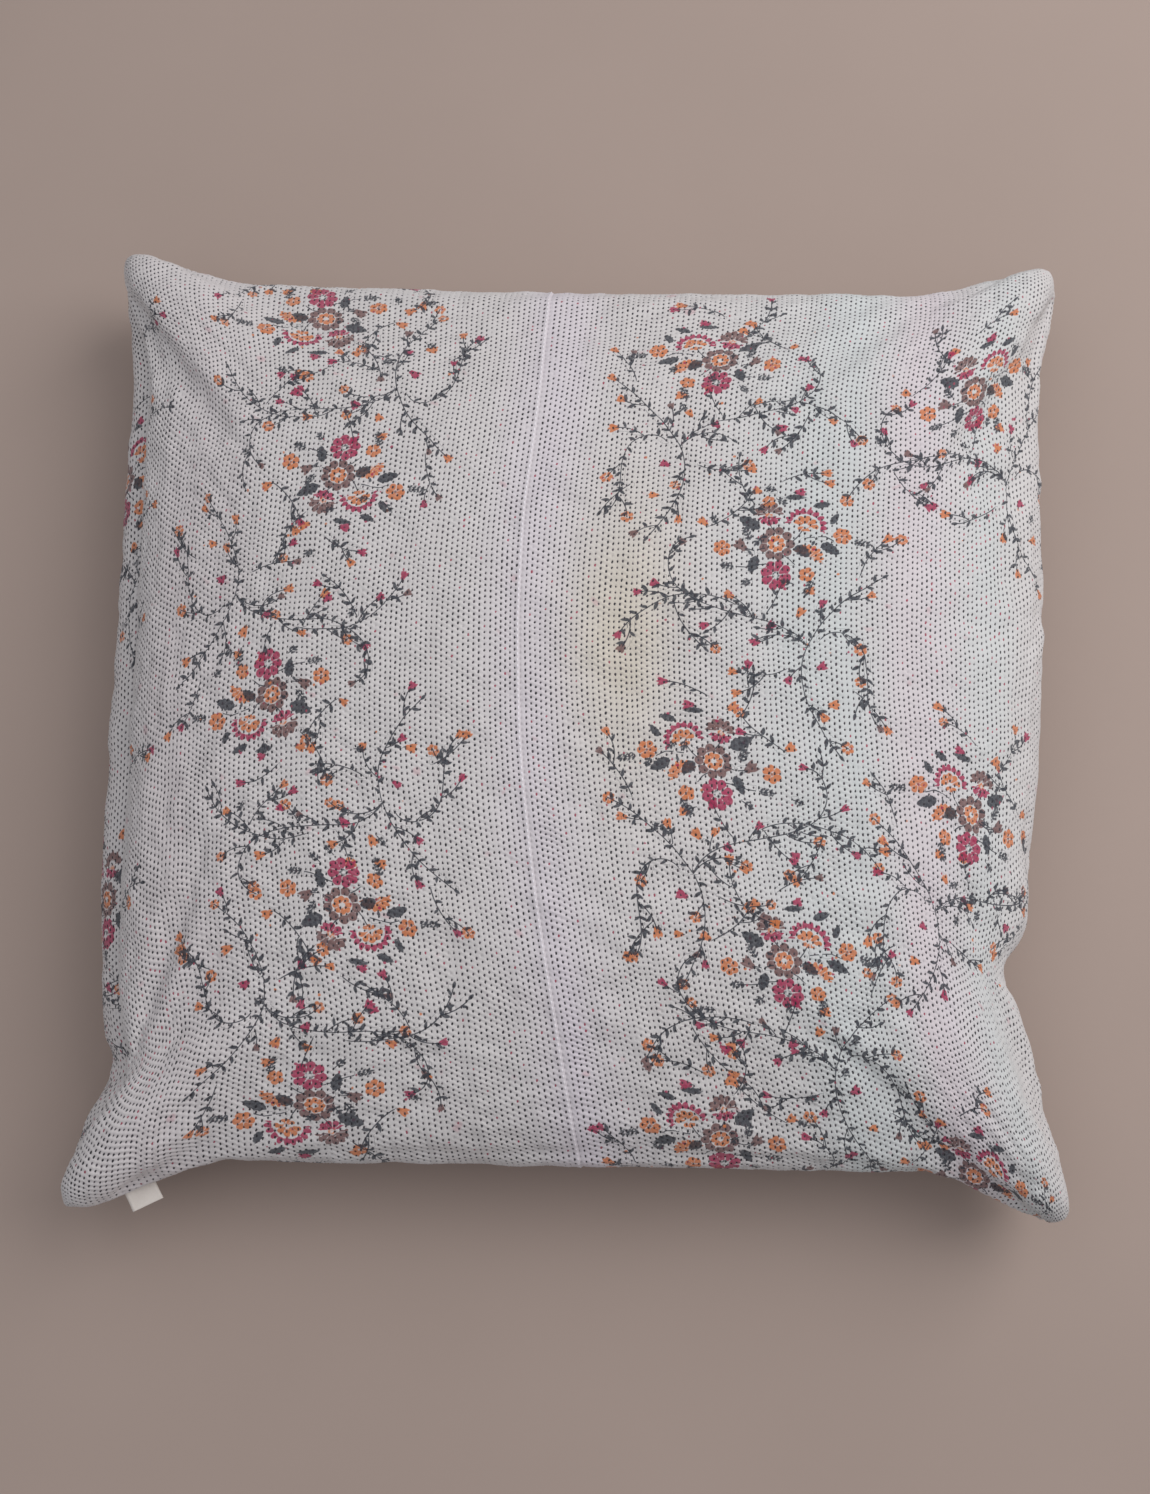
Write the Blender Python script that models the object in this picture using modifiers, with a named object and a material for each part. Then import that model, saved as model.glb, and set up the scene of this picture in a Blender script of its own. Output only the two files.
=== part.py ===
"""Square floor cushion: a quilted cover closed by a zip round a fibre-filled inner pad.

The cushion lies flat. +Z is up, +X runs to its right, the zip is in the -Y edge, and the
origin is under its middle, on the surface that it rests on. All sizes are in metres.
"""

import math

import bmesh
import bpy
from mathutils import Matrix, Vector

# Cover, as it is when stuffed
MID_HALF_X = 0.385        # half width between the middles of the left and right edges
MID_HALF_Y = 0.362        # half width between the middles of the top and bottom edges
EAR_FLARE_X = 0.057       # how far a corner ear stands out sideways past the middle of an edge
EAR_FLARE_Y = 0.078       # the same along Y
THICKNESS = 0.205         # height of the crown above the floor
SEAM_HEIGHT = 0.085       # height of the edge seam at the middle of an edge
EAR_DROP = 0.018          # how much lower the seam runs at the ears
BAND = 0.017              # upright band of cloth above and below the edge seam
COVER_WALL = 0.0030       # quilted cloth: printed cotton over layers of old cotton
CORNER_ROUND = 0.060      # share by which the tip of an ear is rounded off
CROWN_POWER = 0.42        # fullness of the crown: smaller is squarer
FLOOR_PRESS = 0.045       # how far the weight presses the rounded underside flat

# Centre join of the two front panels
JOIN_X = -0.035
LAP = 0.014
LAP_CLEARANCE = 0.0010

# Zip in the -Y edge
ZIP_HALF_LENGTH = 0.250
ZIP_GAP_HALF = 0.0055     # from the seam line to each lip of cloth
TAPE_EXTRA = 0.010        # how far the tapes run on past each end of the opening
STRAIGHT_MARGIN = 0.032   # straight seam past each end of the tapes, before the ears flare
TAPE_REACH = 0.0140       # from the seam line to a tape's outer edge
TAPE_THICKNESS = 0.0006
COIL_DIAMETER = 0.0023
COIL_SPLIT_HALF = 0.0007  # from the seam line to the near side of each coil
STOP_LENGTH = 0.0040
SLIDER_LENGTH = 0.0120
SLIDER_HALF_WIDTH = 0.0046
SLIDER_PLATE = 0.0010
SLIDER_NECK_HALF = 0.00035
SLIDER_TAPER = 0.92       # width of the slider's tail, and of its flanges' outer faces, to its own
NECK_SPAN = (0.35, 0.95)  # where the neck starts and ends, as shares of half the slider
FLANGE_SHARE = 0.97
CROWN_RADIUS = 0.0024
CROWN_WIRE = 0.00055
TAB_LENGTH = 0.0240
TAB_WIDTH = 0.0080
TAB_THICKNESS = 0.0012
TAB_PIN_RADIUS = 0.0006
TAB_HOLE_SHARE = 0.22     # radius of the hole in the tab's end, to its width

# Label
LABEL_X = -0.350
LABEL_WIDTH = 0.033
LABEL_REACH = 0.020
LABEL_TAPE = 0.0004
LABEL_FOLD_RADIUS = 0.0006

# Inner pad
PAD_SLACK = 0.0110        # room between cover and pad at the sides
PAD_EAR_SLACK = 0.0220    # room that the pad leaves in each ear
PAD_CROWN_SLACK = 0.0060
CASE_WALL = 0.0008
FILL_SLACK = 0.0050
THREAD_RADIUS = 0.0004
CLOTH_GAP = 0.0003        # between faces that touch
SEAM_GAP = 0.0008         # between the two edges that a seam joins
THREAD_CLEARANCE = 0.0008

COVER_STEPS = 18
PAD_STEPS = 14

# Share of each edge that runs straight: along the zip's edge, the zip and its margins
STRAIGHT_SHARE = (ZIP_HALF_LENGTH + TAPE_EXTRA + STRAIGHT_MARGIN) / (MID_HALF_X + EAR_FLARE_X)


class Layer:
    """One skin of the cushion: its half sizes, its crown, its lowest level and its band."""

    def __init__(self, inset, ear_inset, crown_inset, floor, band):
        self.half_x = MID_HALF_X - inset
        self.half_y = MID_HALF_Y - inset
        self.flare_x = EAR_FLARE_X - ear_inset + inset
        self.flare_y = EAR_FLARE_Y - ear_inset + inset
        self.top = THICKNESS - crown_inset
        self.floor = floor
        self.band = band
        self.fall = SEAM_HEIGHT - band + FLOOR_PRESS - inset

    def plan(self, s, t):
        """Where the point (s, t) of a flat square, -1 to 1 each way, lies in plan."""
        x = s * (self.half_x + self.flare_x * reach(t)) * (1 - CORNER_ROUND * abs(t) ** 16)
        y = t * (self.half_y + self.flare_y * reach(s)) * (1 - CORNER_ROUND * abs(s) ** 16)
        return x, y

    def point(self, s, t, side):
        """The point of the upper (side 1) or lower (side -1) skin over (s, t)."""
        x, y = self.plan(s, t)
        fullness = max((1 - s * s) * (1 - t * t), 0.0) ** CROWN_POWER
        start = seam_level(s, t) + side * self.band
        if side > 0:
            rise = self.top - SEAM_HEIGHT - self.band
            return Vector((x, y, start + rise * fullness))
        return Vector((x, y, max(start - self.fall * fullness, self.floor)))


def reach(t):
    """0 along the straight part of an edge, growing to 1 at its ear."""
    return max((abs(t) - STRAIGHT_SHARE) / (1 - STRAIGHT_SHARE), 0.0) ** 2


def seam_level(s, t):
    return SEAM_HEIGHT - EAR_DROP * reach(s) * reach(t)


COVER = Layer(0.0, 0.0, 0.0, 0.0, BAND)
CASE_FLOOR = COVER_WALL + CLOTH_GAP
CASE = Layer(PAD_SLACK, PAD_EAR_SLACK, COVER_WALL + PAD_CROWN_SLACK, CASE_FLOOR, BAND / 2)
FILL = Layer(
    PAD_SLACK + CASE_WALL + FILL_SLACK,
    PAD_EAR_SLACK + CASE_WALL + 2 * FILL_SLACK,
    COVER_WALL + PAD_CROWN_SLACK + CASE_WALL + CLOTH_GAP,
    CASE_FLOOR + CASE_WALL + CLOTH_GAP,
    BAND / 3,
)

EDGE_Y = -MID_HALF_Y                          # outer face of the cover along the zip
TAPE_FACE = EDGE_Y + COVER_WALL + CLOTH_GAP   # outer face of the tapes
COIL_FACE = TAPE_FACE - CLOTH_GAP - COIL_DIAMETER
PLATE_FACE = COIL_FACE - CLOTH_GAP            # inner face of the slider's outer plate
SLIDER_FACE = PLATE_FACE - SLIDER_PLATE
TAB_AXIS_Y = SLIDER_FACE - CLOTH_GAP - TAB_THICKNESS / 2
STOP_START = ZIP_HALF_LENGTH - CLOTH_GAP - STOP_LENGTH
SLIDER_X = STOP_START - CLOTH_GAP - SLIDER_LENGTH / 2


def clear_scene():
    for old in list(bpy.data.objects):
        bpy.data.objects.remove(old, do_unlink=True)


def new_collection(name):
    collection = bpy.data.collections.new(name)
    bpy.context.scene.collection.children.link(collection)
    return collection


def finish(name, colour, roughness, metallic=0.0):
    material = bpy.data.materials.new(name)
    material.use_nodes = True
    shader = material.node_tree.nodes["Principled BSDF"]
    shader.inputs["Base Color"].default_value = (*colour, 1.0)
    shader.inputs["Roughness"].default_value = roughness
    shader.inputs["Metallic"].default_value = metallic
    return material


def place(name, data, collection, material=None):
    piece = bpy.data.objects.new(name, data)
    collection.objects.link(piece)
    if material:
        piece.data.materials.append(material)
    return piece


def mesh_from(bm, name):
    mesh = bpy.data.meshes.new(name)
    bm.to_mesh(mesh)
    bm.free()
    return mesh


def stations(steps, low=-1.0, high=1.0):
    """Places across the square from low to high, closer together towards its edges.

    The ends of the straight stretches are among them, so that the zip lies on straight cloth.
    """
    every = [-math.cos(math.pi * k / steps) for k in range(steps + 1)]
    margin = 0.2 / steps
    ends = [s for s in (-STRAIGHT_SHARE, STRAIGHT_SHARE) if low < s < high]
    free = [s for s in every if low + margin < s < high - margin]
    free = [s for s in free if all(abs(s - end) > 3 * margin for end in ends)]
    return sorted([low, *ends, *free, high])


def skin(layer, side, steps, low=-1.0, high=1.0, seam_gap=SEAM_GAP):
    """An open half of a layer, from low to high across it, down to the seam line.

    The cut sides of a half that doesn't reach across are marked in the vertex layer "cut".
    """
    bm = bmesh.new()
    columns = stations(steps, low, high)
    rows = stations(steps)
    bmesh.ops.create_grid(bm, x_segments=len(columns) - 1, y_segments=len(rows) - 1, size=1.0)
    cut = bm.verts.layers.int.new("cut")
    rim = set()
    for vert in bm.verts:
        s = columns[round((vert.co.x + 1) / 2 * (len(columns) - 1))]
        t = rows[round((vert.co.y + 1) / 2 * (len(rows) - 1))]
        if max(abs(s), abs(t)) > 0.9999:
            rim.add(vert)
        vert[cut] = int((s == low > -1.0) or (s == high < 1.0))
        vert.co = layer.point(s, t, side)
    if side < 0:
        bmesh.ops.reverse_faces(bm, faces=bm.faces)
    edges = [e for e in bm.edges if e.is_boundary and all(v in rim for v in e.verts)]
    band = bmesh.ops.extrude_edge_only(bm, edges=edges)["geom"]
    for vert in band:
        if isinstance(vert, bmesh.types.BMVert):
            vert.co.z -= side * (layer.band - seam_gap / 2)
    bmesh.ops.recalc_face_normals(bm, faces=bm.faces)
    bm.faces.ensure_lookup_table()
    top_face = max(bm.faces, key=lambda f: side * f.calc_center_median().z)
    if top_face.normal.z * side < 0:
        bmesh.ops.reverse_faces(bm, faces=bm.faces)
    bm.normal_update()
    return bm


def add_lap(bm):
    """Steps the marked edge down by one cloth and runs it on under the other panel."""
    cut = bm.verts.layers.int["cut"]
    for sink, run in ((COVER_WALL + LAP_CLEARANCE, 0.0), (0.0, LAP)):
        edges = [e for e in bm.edges if e.is_boundary and all(v[cut] for v in e.verts)]
        old = {v for e in edges for v in e.verts}
        normals = {tuple(v.co): v.normal.copy() for v in old}
        made = bmesh.ops.extrude_edge_only(bm, edges=edges)["geom"]
        for vert in made:
            if isinstance(vert, bmesh.types.BMVert):
                vert.co -= normals[tuple(vert.co)] * sink
                vert.co.x -= run
                vert[cut] = 1
        for vert in old:
            vert[cut] = 0
    bm.normal_update()


def thicken(piece, wall):
    solidify = piece.modifiers.new("wall", "SOLIDIFY")
    solidify.thickness = wall
    solidify.offset = -1.0
    solidify.use_even_offset = True


def subtract(piece, cutter):
    boolean = piece.modifiers.new("cut_" + cutter.name, "BOOLEAN")
    boolean.operation = "DIFFERENCE"
    boolean.object = cutter


def unite(piece, other):
    boolean = piece.modifiers.new("join_" + other.name, "BOOLEAN")
    boolean.operation = "UNION"
    boolean.object = other


def box_mesh(name, low, high):
    bm = bmesh.new()
    bmesh.ops.create_cube(bm, size=1.0)
    low, high = Vector(low), Vector(high)
    for vert in bm.verts:
        vert.co = Vector(
            (low[i] + (high[i] - low[i]) * (vert.co[i] + 0.5)) for i in range(3)
        )
    return mesh_from(bm, name)


def hidden(name, data):
    guide = place(name, data, cutters)
    guide.hide_render = True
    guide.display_type = "WIRE"
    return guide


def soften(piece, width, segments=2):
    bevel = piece.modifiers.new("edges", "BEVEL")
    bevel.width = width
    bevel.segments = segments
    bevel.limit_method = "ANGLE"


def tube_curve(name, points, radius, closed=False):
    curve = bpy.data.curves.new(name, "CURVE")
    curve.dimensions = "3D"
    curve.bevel_depth = radius
    curve.bevel_resolution = 1
    curve.use_fill_caps = True
    spline = curve.splines.new("POLY")
    spline.points.add(len(points) - 1)
    for spot, point in zip(spline.points, points):
        spot.co = (*point, 1.0)
    spline.use_cyclic_u = closed
    return curve


def rim_loop(layer, steps, inset, drop):
    """Points just inside the seam line, all the way round from the middle of the -Y edge."""
    square = [(0.0, -1.0)]
    half = [s for s in stations(steps) if s > 0.01]
    square += [(s, -1.0) for s in half]
    square += [(1.0, t) for t in [-s for s in half[-2::-1]] + [0.0] + half]
    square += [(s, 1.0) for s in half[-2::-1] + [0.0] + [-s for s in half]]
    square += [(-1.0, t) for t in half[-2::-1] + [0.0] + [-s for s in half]]
    square += [(-s, -1.0) for s in half[-2::-1]]
    spots = [Vector((*layer.plan(s, t), seam_level(s, t) - drop)) for s, t in square]
    loop = []
    for k, spot in enumerate(spots):
        before = (spot - spots[k - 1]).to_2d().normalized()
        after = (spots[(k + 1) % len(spots)] - spot).to_2d().normalized()
        ahead = (before + after).normalized()
        mitre = inset / ahead.dot(after)
        loop.append(spot + Vector((-ahead.y, ahead.x, 0.0)) * mitre)
    return loop


# ---- cover ---------------------------------------------------------------------------------


def make_front_panels():
    split = CLOTH_GAP / 2
    left = skin(COVER, 1, COVER_STEPS, high=(JOIN_X - split) / MID_HALF_X)
    left_panel = place("front_panel_left", mesh_from(left, "front_left"), parts, quilt)
    right = skin(COVER, 1, COVER_STEPS, low=(JOIN_X + split) / MID_HALF_X)
    add_lap(right)
    right_panel = place("front_panel_right", mesh_from(right, "front_right"), parts, quilt)
    return left_panel, right_panel


def make_back_panel():
    return place("back_panel", mesh_from(skin(COVER, -1, COVER_STEPS), "back"), parts, quilt)


def make_join_thread():
    """A line of running stitches along the join, just left of the lapped edge."""
    s = (JOIN_X - LAP / 2) / MID_HALF_X
    lift = THREAD_RADIUS + THREAD_CLEARANCE
    points = []
    for t in stations(2 * COVER_STEPS)[1:-1]:
        here = COVER.point(s, t, 1)
        ahead = COVER.point(s, min(t + 0.001, 1.0), 1) - COVER.point(s, t - 0.001, 1)
        outward = Vector((0.0, -ahead.z, ahead.y)).normalized()
        points.append(here + outward * lift)
    curve = tube_curve("join_thread", points, THREAD_RADIUS)
    place("centre_join_thread", curve, parts, pale_thread)


def make_edge_thread():
    """The seam's thread, on the inside of the cover, from one end of the zip round to the other."""
    inset = COVER_WALL + THREAD_CLEARANCE + THREAD_RADIUS
    loop = rim_loop(COVER, COVER_STEPS, inset, 2.5 * THREAD_RADIUS)
    stop = ZIP_HALF_LENGTH + TAPE_EXTRA + THREAD_CLEARANCE + THREAD_RADIUS
    start = Vector((stop, loop[0].y, loop[0].z))
    end = Vector((-stop, loop[0].y, loop[0].z))
    kept = [p for p in loop if p.y > 0.0 or abs(p.x) > stop]
    curve = tube_curve("edge_thread", [start, *kept, end], THREAD_RADIUS)
    place("edge_seam_thread", curve, parts, pale_thread)


def make_label(panels):
    """A short length of cotton tape, folded in half and caught in the seam by its two ends.

    It sits on the straight run of the seam, between two stations, that passes LABEL_X.
    """
    seam = [Vector((*COVER.plan(s, -1.0), seam_level(s, -1.0))) for s in stations(COVER_STEPS)]
    before, after = next(run for run in zip(seam, seam[1:]) if run[0].x <= LABEL_X <= run[1].x)
    seat = before.lerp(after, (LABEL_X - before.x) / (after.x - before.x))
    level_run = after - before
    level_run.z = 0.0
    along = level_run.normalized()
    outward = Vector((along.y, -along.x, 0.0))
    frame = Matrix((along, outward, Vector((0, 0, 1)))).transposed().to_4x4()
    frame.translation = seat

    depth = COVER_WALL - CLOTH_GAP
    turn = LABEL_REACH - LABEL_FOLD_RADIUS
    outline = [(-depth, LABEL_FOLD_RADIUS), (turn * 0.5, LABEL_FOLD_RADIUS)]
    for k in range(7):
        angle = math.pi / 2 - math.pi * k / 6
        outline.append(
            (turn + LABEL_FOLD_RADIUS * math.cos(angle), LABEL_FOLD_RADIUS * math.sin(angle))
        )
    outline += [(turn * 0.5, -LABEL_FOLD_RADIUS), (-depth, -LABEL_FOLD_RADIUS)]
    bm = bmesh.new()
    chain = [bm.verts.new((-LABEL_WIDTH / 2, y, z)) for y, z in outline]
    edges = [bm.edges.new(pair) for pair in zip(chain, chain[1:])]
    made = bmesh.ops.extrude_edge_only(bm, edges=edges)["geom"]
    for vert in made:
        if isinstance(vert, bmesh.types.BMVert):
            vert.co.x += LABEL_WIDTH
    bm.normal_update()
    bm.faces.ensure_lookup_table()
    if bm.faces[0].normal.z < 0:
        bmesh.ops.reverse_faces(bm, faces=bm.faces)
    label = place("side_label", mesh_from(bm, "label"), parts, label_cotton)
    label.matrix_world = frame
    thickness = label.modifiers.new("tape", "SOLIDIFY")
    thickness.thickness = LABEL_TAPE
    thickness.offset = 0.0
    thickness.use_even_offset = True

    room = LABEL_FOLD_RADIUS + LABEL_TAPE / 2 + CLOTH_GAP
    half = LABEL_WIDTH / 2 + CLOTH_GAP
    reach_in = COVER_WALL * 3
    slot = hidden("label_slot", box_mesh("label_slot", (-half, -reach_in, -room), (half, 0.01, room)))
    slot.matrix_world = frame
    for panel in panels:
        subtract(panel, slot)


# ---- zip -----------------------------------------------------------------------------------


def cut_zip_opening(panels, lapped):
    """Parts the cloth along the zip, and clears the lap's end from behind the tapes."""
    opening = hidden(
        "zip_opening",
        box_mesh(
            "zip_opening",
            (-ZIP_HALF_LENGTH, EDGE_Y - 0.02, SEAM_HEIGHT - ZIP_GAP_HALF),
            (ZIP_HALF_LENGTH, EDGE_Y + 4 * COVER_WALL, SEAM_HEIGHT + ZIP_GAP_HALF),
        ),
    )
    for panel in panels:
        subtract(panel, opening)
    tape_half = ZIP_HALF_LENGTH + TAPE_EXTRA + CLOTH_GAP
    room = TAPE_REACH + CLOTH_GAP
    pocket = hidden(
        "tape_room",
        box_mesh(
            "tape_room",
            (-tape_half, EDGE_Y + COVER_WALL + CLOTH_GAP / 2, SEAM_HEIGHT - room),
            (tape_half, EDGE_Y + 5 * COVER_WALL, SEAM_HEIGHT + room),
        ),
    )
    subtract(lapped, pocket)


def make_tape_side(word, side):
    """One half of the zip: its tape, its coil, its top stop and the stitching that holds it."""
    length = ZIP_HALF_LENGTH + TAPE_EXTRA
    levels = sorted((SEAM_HEIGHT + side * COIL_SPLIT_HALF, SEAM_HEIGHT + side * TAPE_REACH))
    tape = box_mesh(
        "tape_" + word,
        (-length, TAPE_FACE, levels[0]),
        (length, TAPE_FACE + TAPE_THICKNESS, levels[1]),
    )
    place("zip_tape_" + word, tape, parts, tape_cloth)

    radius = COIL_DIAMETER / 2
    y = TAPE_FACE - CLOTH_GAP - radius
    z = SEAM_HEIGHT + side * (COIL_SPLIT_HALF + radius)
    end = STOP_START - CLOTH_GAP
    coil = tube_curve("coil_" + word, [(-end, y, z), (end, y, z)], radius)
    place("zip_coil_" + word, coil, parts, nylon)

    levels = sorted(
        (SEAM_HEIGHT + side * COIL_SPLIT_HALF, SEAM_HEIGHT + side * (COIL_SPLIT_HALF + COIL_DIAMETER))
    )
    stop = box_mesh(
        "stop_" + word,
        (STOP_START, COIL_FACE, levels[0]),
        (STOP_START + STOP_LENGTH, TAPE_FACE - CLOTH_GAP, levels[1]),
    )
    soften(place("zip_top_stop_" + word, stop, parts, brushed_metal), 0.0003)

    y = EDGE_Y - THREAD_RADIUS - THREAD_CLEARANCE
    z = SEAM_HEIGHT + side * (ZIP_GAP_HALF + 0.0020)
    line = tube_curve("stitch_" + word, [(-length, y, z), (length, y, z)], THREAD_RADIUS)
    place("zip_stitching_" + word, line, parts, pale_thread)


def make_bottom_stop():
    reach_z = COIL_SPLIT_HALF + COIL_DIAMETER
    stop = box_mesh(
        "bottom_stop",
        (-STOP_START - STOP_LENGTH, COIL_FACE, SEAM_HEIGHT - reach_z),
        (-STOP_START, TAPE_FACE - CLOTH_GAP, SEAM_HEIGHT + reach_z),
    )
    soften(place("zip_bottom_stop", stop, parts, brushed_metal), 0.0003)


def make_slider():
    """Two plates joined by a thin neck between the coils, with a wire crown for the tab.

    Its origin is on the axis that the pull tab swings about.
    """
    half = SLIDER_LENGTH / 2
    wide = SLIDER_HALF_WIDTH
    origin = Vector((SLIDER_X, TAB_AXIS_Y, SEAM_HEIGHT))
    inner_start = TAPE_FACE + TAPE_THICKNESS + CLOTH_GAP

    def block(name, low, high, build=hidden):
        local = [Vector(corner) - Vector((0, origin.y, 0)) for corner in (low, high)]
        piece = build(name, box_mesh(name, *local))
        piece.location = origin
        return piece

    slider = block(
        "zip_slider",
        (-half, SLIDER_FACE, -wide),
        (half, PLATE_FACE, wide),
        lambda name, data: place(name, data, parts, brushed_metal),
    )
    for vert in slider.data.vertices:
        if vert.co.x < 0:
            vert.co.z *= SLIDER_TAPER
    overlap = SLIDER_PLATE / 4
    back = block(
        "slider_back",
        (-half, inner_start, -wide),
        (half, inner_start + SLIDER_PLATE, wide),
    )
    neck = block(
        "slider_neck",
        (half * NECK_SPAN[0], PLATE_FACE - overlap, -SLIDER_NECK_HALF),
        (half * NECK_SPAN[1], inner_start + overlap, SLIDER_NECK_HALF),
    )
    pieces = [neck, back]
    coil_edge = COIL_SPLIT_HALF + COIL_DIAMETER + CLOTH_GAP
    for side in (-1, 1):
        levels = sorted((side * coil_edge, side * wide * SLIDER_TAPER))
        pieces.append(
            block(
                f"slider_flange_{side + 2}",
                (-half * FLANGE_SHARE, PLATE_FACE - overlap, levels[0]),
                (half * FLANGE_SHARE, TAPE_FACE - CLOTH_GAP, levels[1]),
            )
        )
    foot = SLIDER_FACE + overlap - origin.y
    arch = [(-CROWN_RADIUS, foot, 0.0)]
    for k in range(13):
        turn = math.pi * k / 12
        arch.append((-CROWN_RADIUS * math.cos(turn), -CROWN_RADIUS * math.sin(turn), 0.0))
    arch.append((CROWN_RADIUS, foot, 0.0))
    curve = hidden("crown_wire", tube_curve("crown_wire", arch, CROWN_WIRE))
    mesh = bpy.data.meshes.new_from_object(
        curve.evaluated_get(bpy.context.evaluated_depsgraph_get())
    )
    bpy.data.objects.remove(curve)
    bm = bmesh.new()
    bm.from_mesh(mesh)
    bmesh.ops.remove_doubles(bm, verts=bm.verts, dist=0.00001)
    crown = hidden("slider_crown", mesh_from(bm, "slider_crown"))
    crown.location = origin
    pieces.append(crown)
    for piece in pieces:
        unite(slider, piece)
    return origin


def make_pull_tab(origin):
    """A flat tab whose cross bar sits in the slider's crown. Its origin is on the bar."""
    pin = TAB_PIN_RADIUS
    thick = TAB_THICKNESS / 2
    wide = TAB_WIDTH / 2
    tab = place(
        "zip_pull_tab",
        box_mesh("pull_tab", (-TAB_LENGTH, -thick, -wide), (pin, thick, wide)),
        parts,
        brushed_metal,
    )
    tab.location = origin
    window_end = CROWN_RADIUS + CROWN_WIRE + 3 * CLOTH_GAP
    window = hidden(
        "tab_window",
        box_mesh(
            "tab_window",
            (-window_end, -4 * thick, -4 * CROWN_WIRE),
            (-pin, 4 * thick, 4 * CROWN_WIRE),
        ),
    )
    window.location = origin
    bm = bmesh.new()
    bmesh.ops.create_cone(
        bm,
        cap_ends=True,
        segments=16,
        radius1=TAB_WIDTH * TAB_HOLE_SHARE,
        radius2=TAB_WIDTH * TAB_HOLE_SHARE,
        depth=8 * thick,
        matrix=Matrix.Rotation(math.pi / 2, 4, "X"),
    )
    hole = hidden("tab_hole", mesh_from(bm, "tab_hole"))
    hole.location = origin + Vector((-TAB_LENGTH + TAB_WIDTH * 0.5, 0, 0))
    soften(tab, thick * 0.4, 1)
    subtract(tab, window)
    subtract(tab, hole)


# ---- inner pad -----------------------------------------------------------------------------


def make_inner_pad():
    for word, side in (("front", 1), ("back", -1)):
        half = place(
            "inner_case_" + word,
            mesh_from(skin(CASE, side, PAD_STEPS), "case_" + word),
            parts,
            calico,
        )
        thicken(half, CASE_WALL)
    inset = CASE_WALL + THREAD_CLEARANCE + THREAD_RADIUS
    loop = rim_loop(CASE, PAD_STEPS, inset, 2.5 * THREAD_RADIUS)
    curve = tube_curve("case_thread", loop, THREAD_RADIUS, closed=True)
    place("inner_case_thread", curve, parts, pale_thread)

    bm = skin(FILL, 1, PAD_STEPS, seam_gap=0.0)
    lower = mesh_from(skin(FILL, -1, PAD_STEPS, seam_gap=0.0), "fill_lower")
    bm.from_mesh(lower)
    bmesh.ops.remove_doubles(bm, verts=bm.verts, dist=0.00001)
    place("fibre_filling", mesh_from(bm, "filling"), parts, fibre)


clear_scene()
parts = new_collection("floor_cushion")
cutters = new_collection("cutters")
quilt = finish("quilted_cotton", (0.62, 0.59, 0.59), 0.90)
pale_thread = finish("pale_thread", (0.75, 0.70, 0.71), 0.80)
tape_cloth = finish("zip_tape", (0.58, 0.55, 0.54), 0.85)
nylon = finish("zip_nylon", (0.60, 0.57, 0.56), 0.45)
brushed_metal = finish("zip_metal", (0.55, 0.53, 0.50), 0.35, 1.0)
label_cotton = finish("label_tape", (0.72, 0.62, 0.58), 0.85)
calico = finish("calico", (0.70, 0.67, 0.60), 0.90)
fibre = finish("polyester_fibre", (0.82, 0.82, 0.82), 0.95)

front_left, front_right = make_front_panels()
back = make_back_panel()
for panel in (front_left, front_right, back):
    thicken(panel, COVER_WALL)
cut_zip_opening((front_left, front_right, back), front_right)
make_label((front_left, back))
make_join_thread()
make_edge_thread()
for tape_word, tape_side in (("front", 1), ("back", -1)):
    make_tape_side(tape_word, tape_side)
make_bottom_stop()
make_pull_tab(make_slider())
make_inner_pad()
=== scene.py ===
"""The floor cushion's looks: hand-quilted cotton cover, its print, seams, label and zip.

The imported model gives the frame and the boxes. Lengths are metres, +Z is up, and the zip is
in the -Y edge. Cloth is drawn up in shares a and b of its flat cut, -1 to 1 across and along.
"""

import math

import bpy
import numpy as np
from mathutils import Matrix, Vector


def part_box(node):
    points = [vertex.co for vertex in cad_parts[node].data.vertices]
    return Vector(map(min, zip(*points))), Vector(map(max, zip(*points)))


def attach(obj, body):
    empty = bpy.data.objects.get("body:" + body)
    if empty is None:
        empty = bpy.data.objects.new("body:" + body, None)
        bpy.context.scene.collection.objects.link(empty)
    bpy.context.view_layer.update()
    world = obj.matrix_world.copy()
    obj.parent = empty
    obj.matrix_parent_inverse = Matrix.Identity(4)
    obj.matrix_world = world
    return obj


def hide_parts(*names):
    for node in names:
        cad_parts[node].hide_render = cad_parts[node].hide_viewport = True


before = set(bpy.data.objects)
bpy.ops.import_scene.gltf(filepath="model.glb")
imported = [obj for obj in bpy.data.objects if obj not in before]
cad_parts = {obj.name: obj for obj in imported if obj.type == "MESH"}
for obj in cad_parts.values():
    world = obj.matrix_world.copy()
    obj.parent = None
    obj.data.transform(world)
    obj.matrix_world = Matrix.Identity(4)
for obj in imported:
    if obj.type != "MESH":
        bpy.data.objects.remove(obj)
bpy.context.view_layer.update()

for loaded in bpy.context.selected_objects:
    loaded.select_set(False)
SCENE = bpy.context.scene


# ---- studio: a pale floor, a soft window to the upper right, a camera nearly overhead ---------
# The floor is a smooth limewashed board, lit by one large window and a weaker sky.
# The camera looks down from over the zip's edge.


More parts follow.
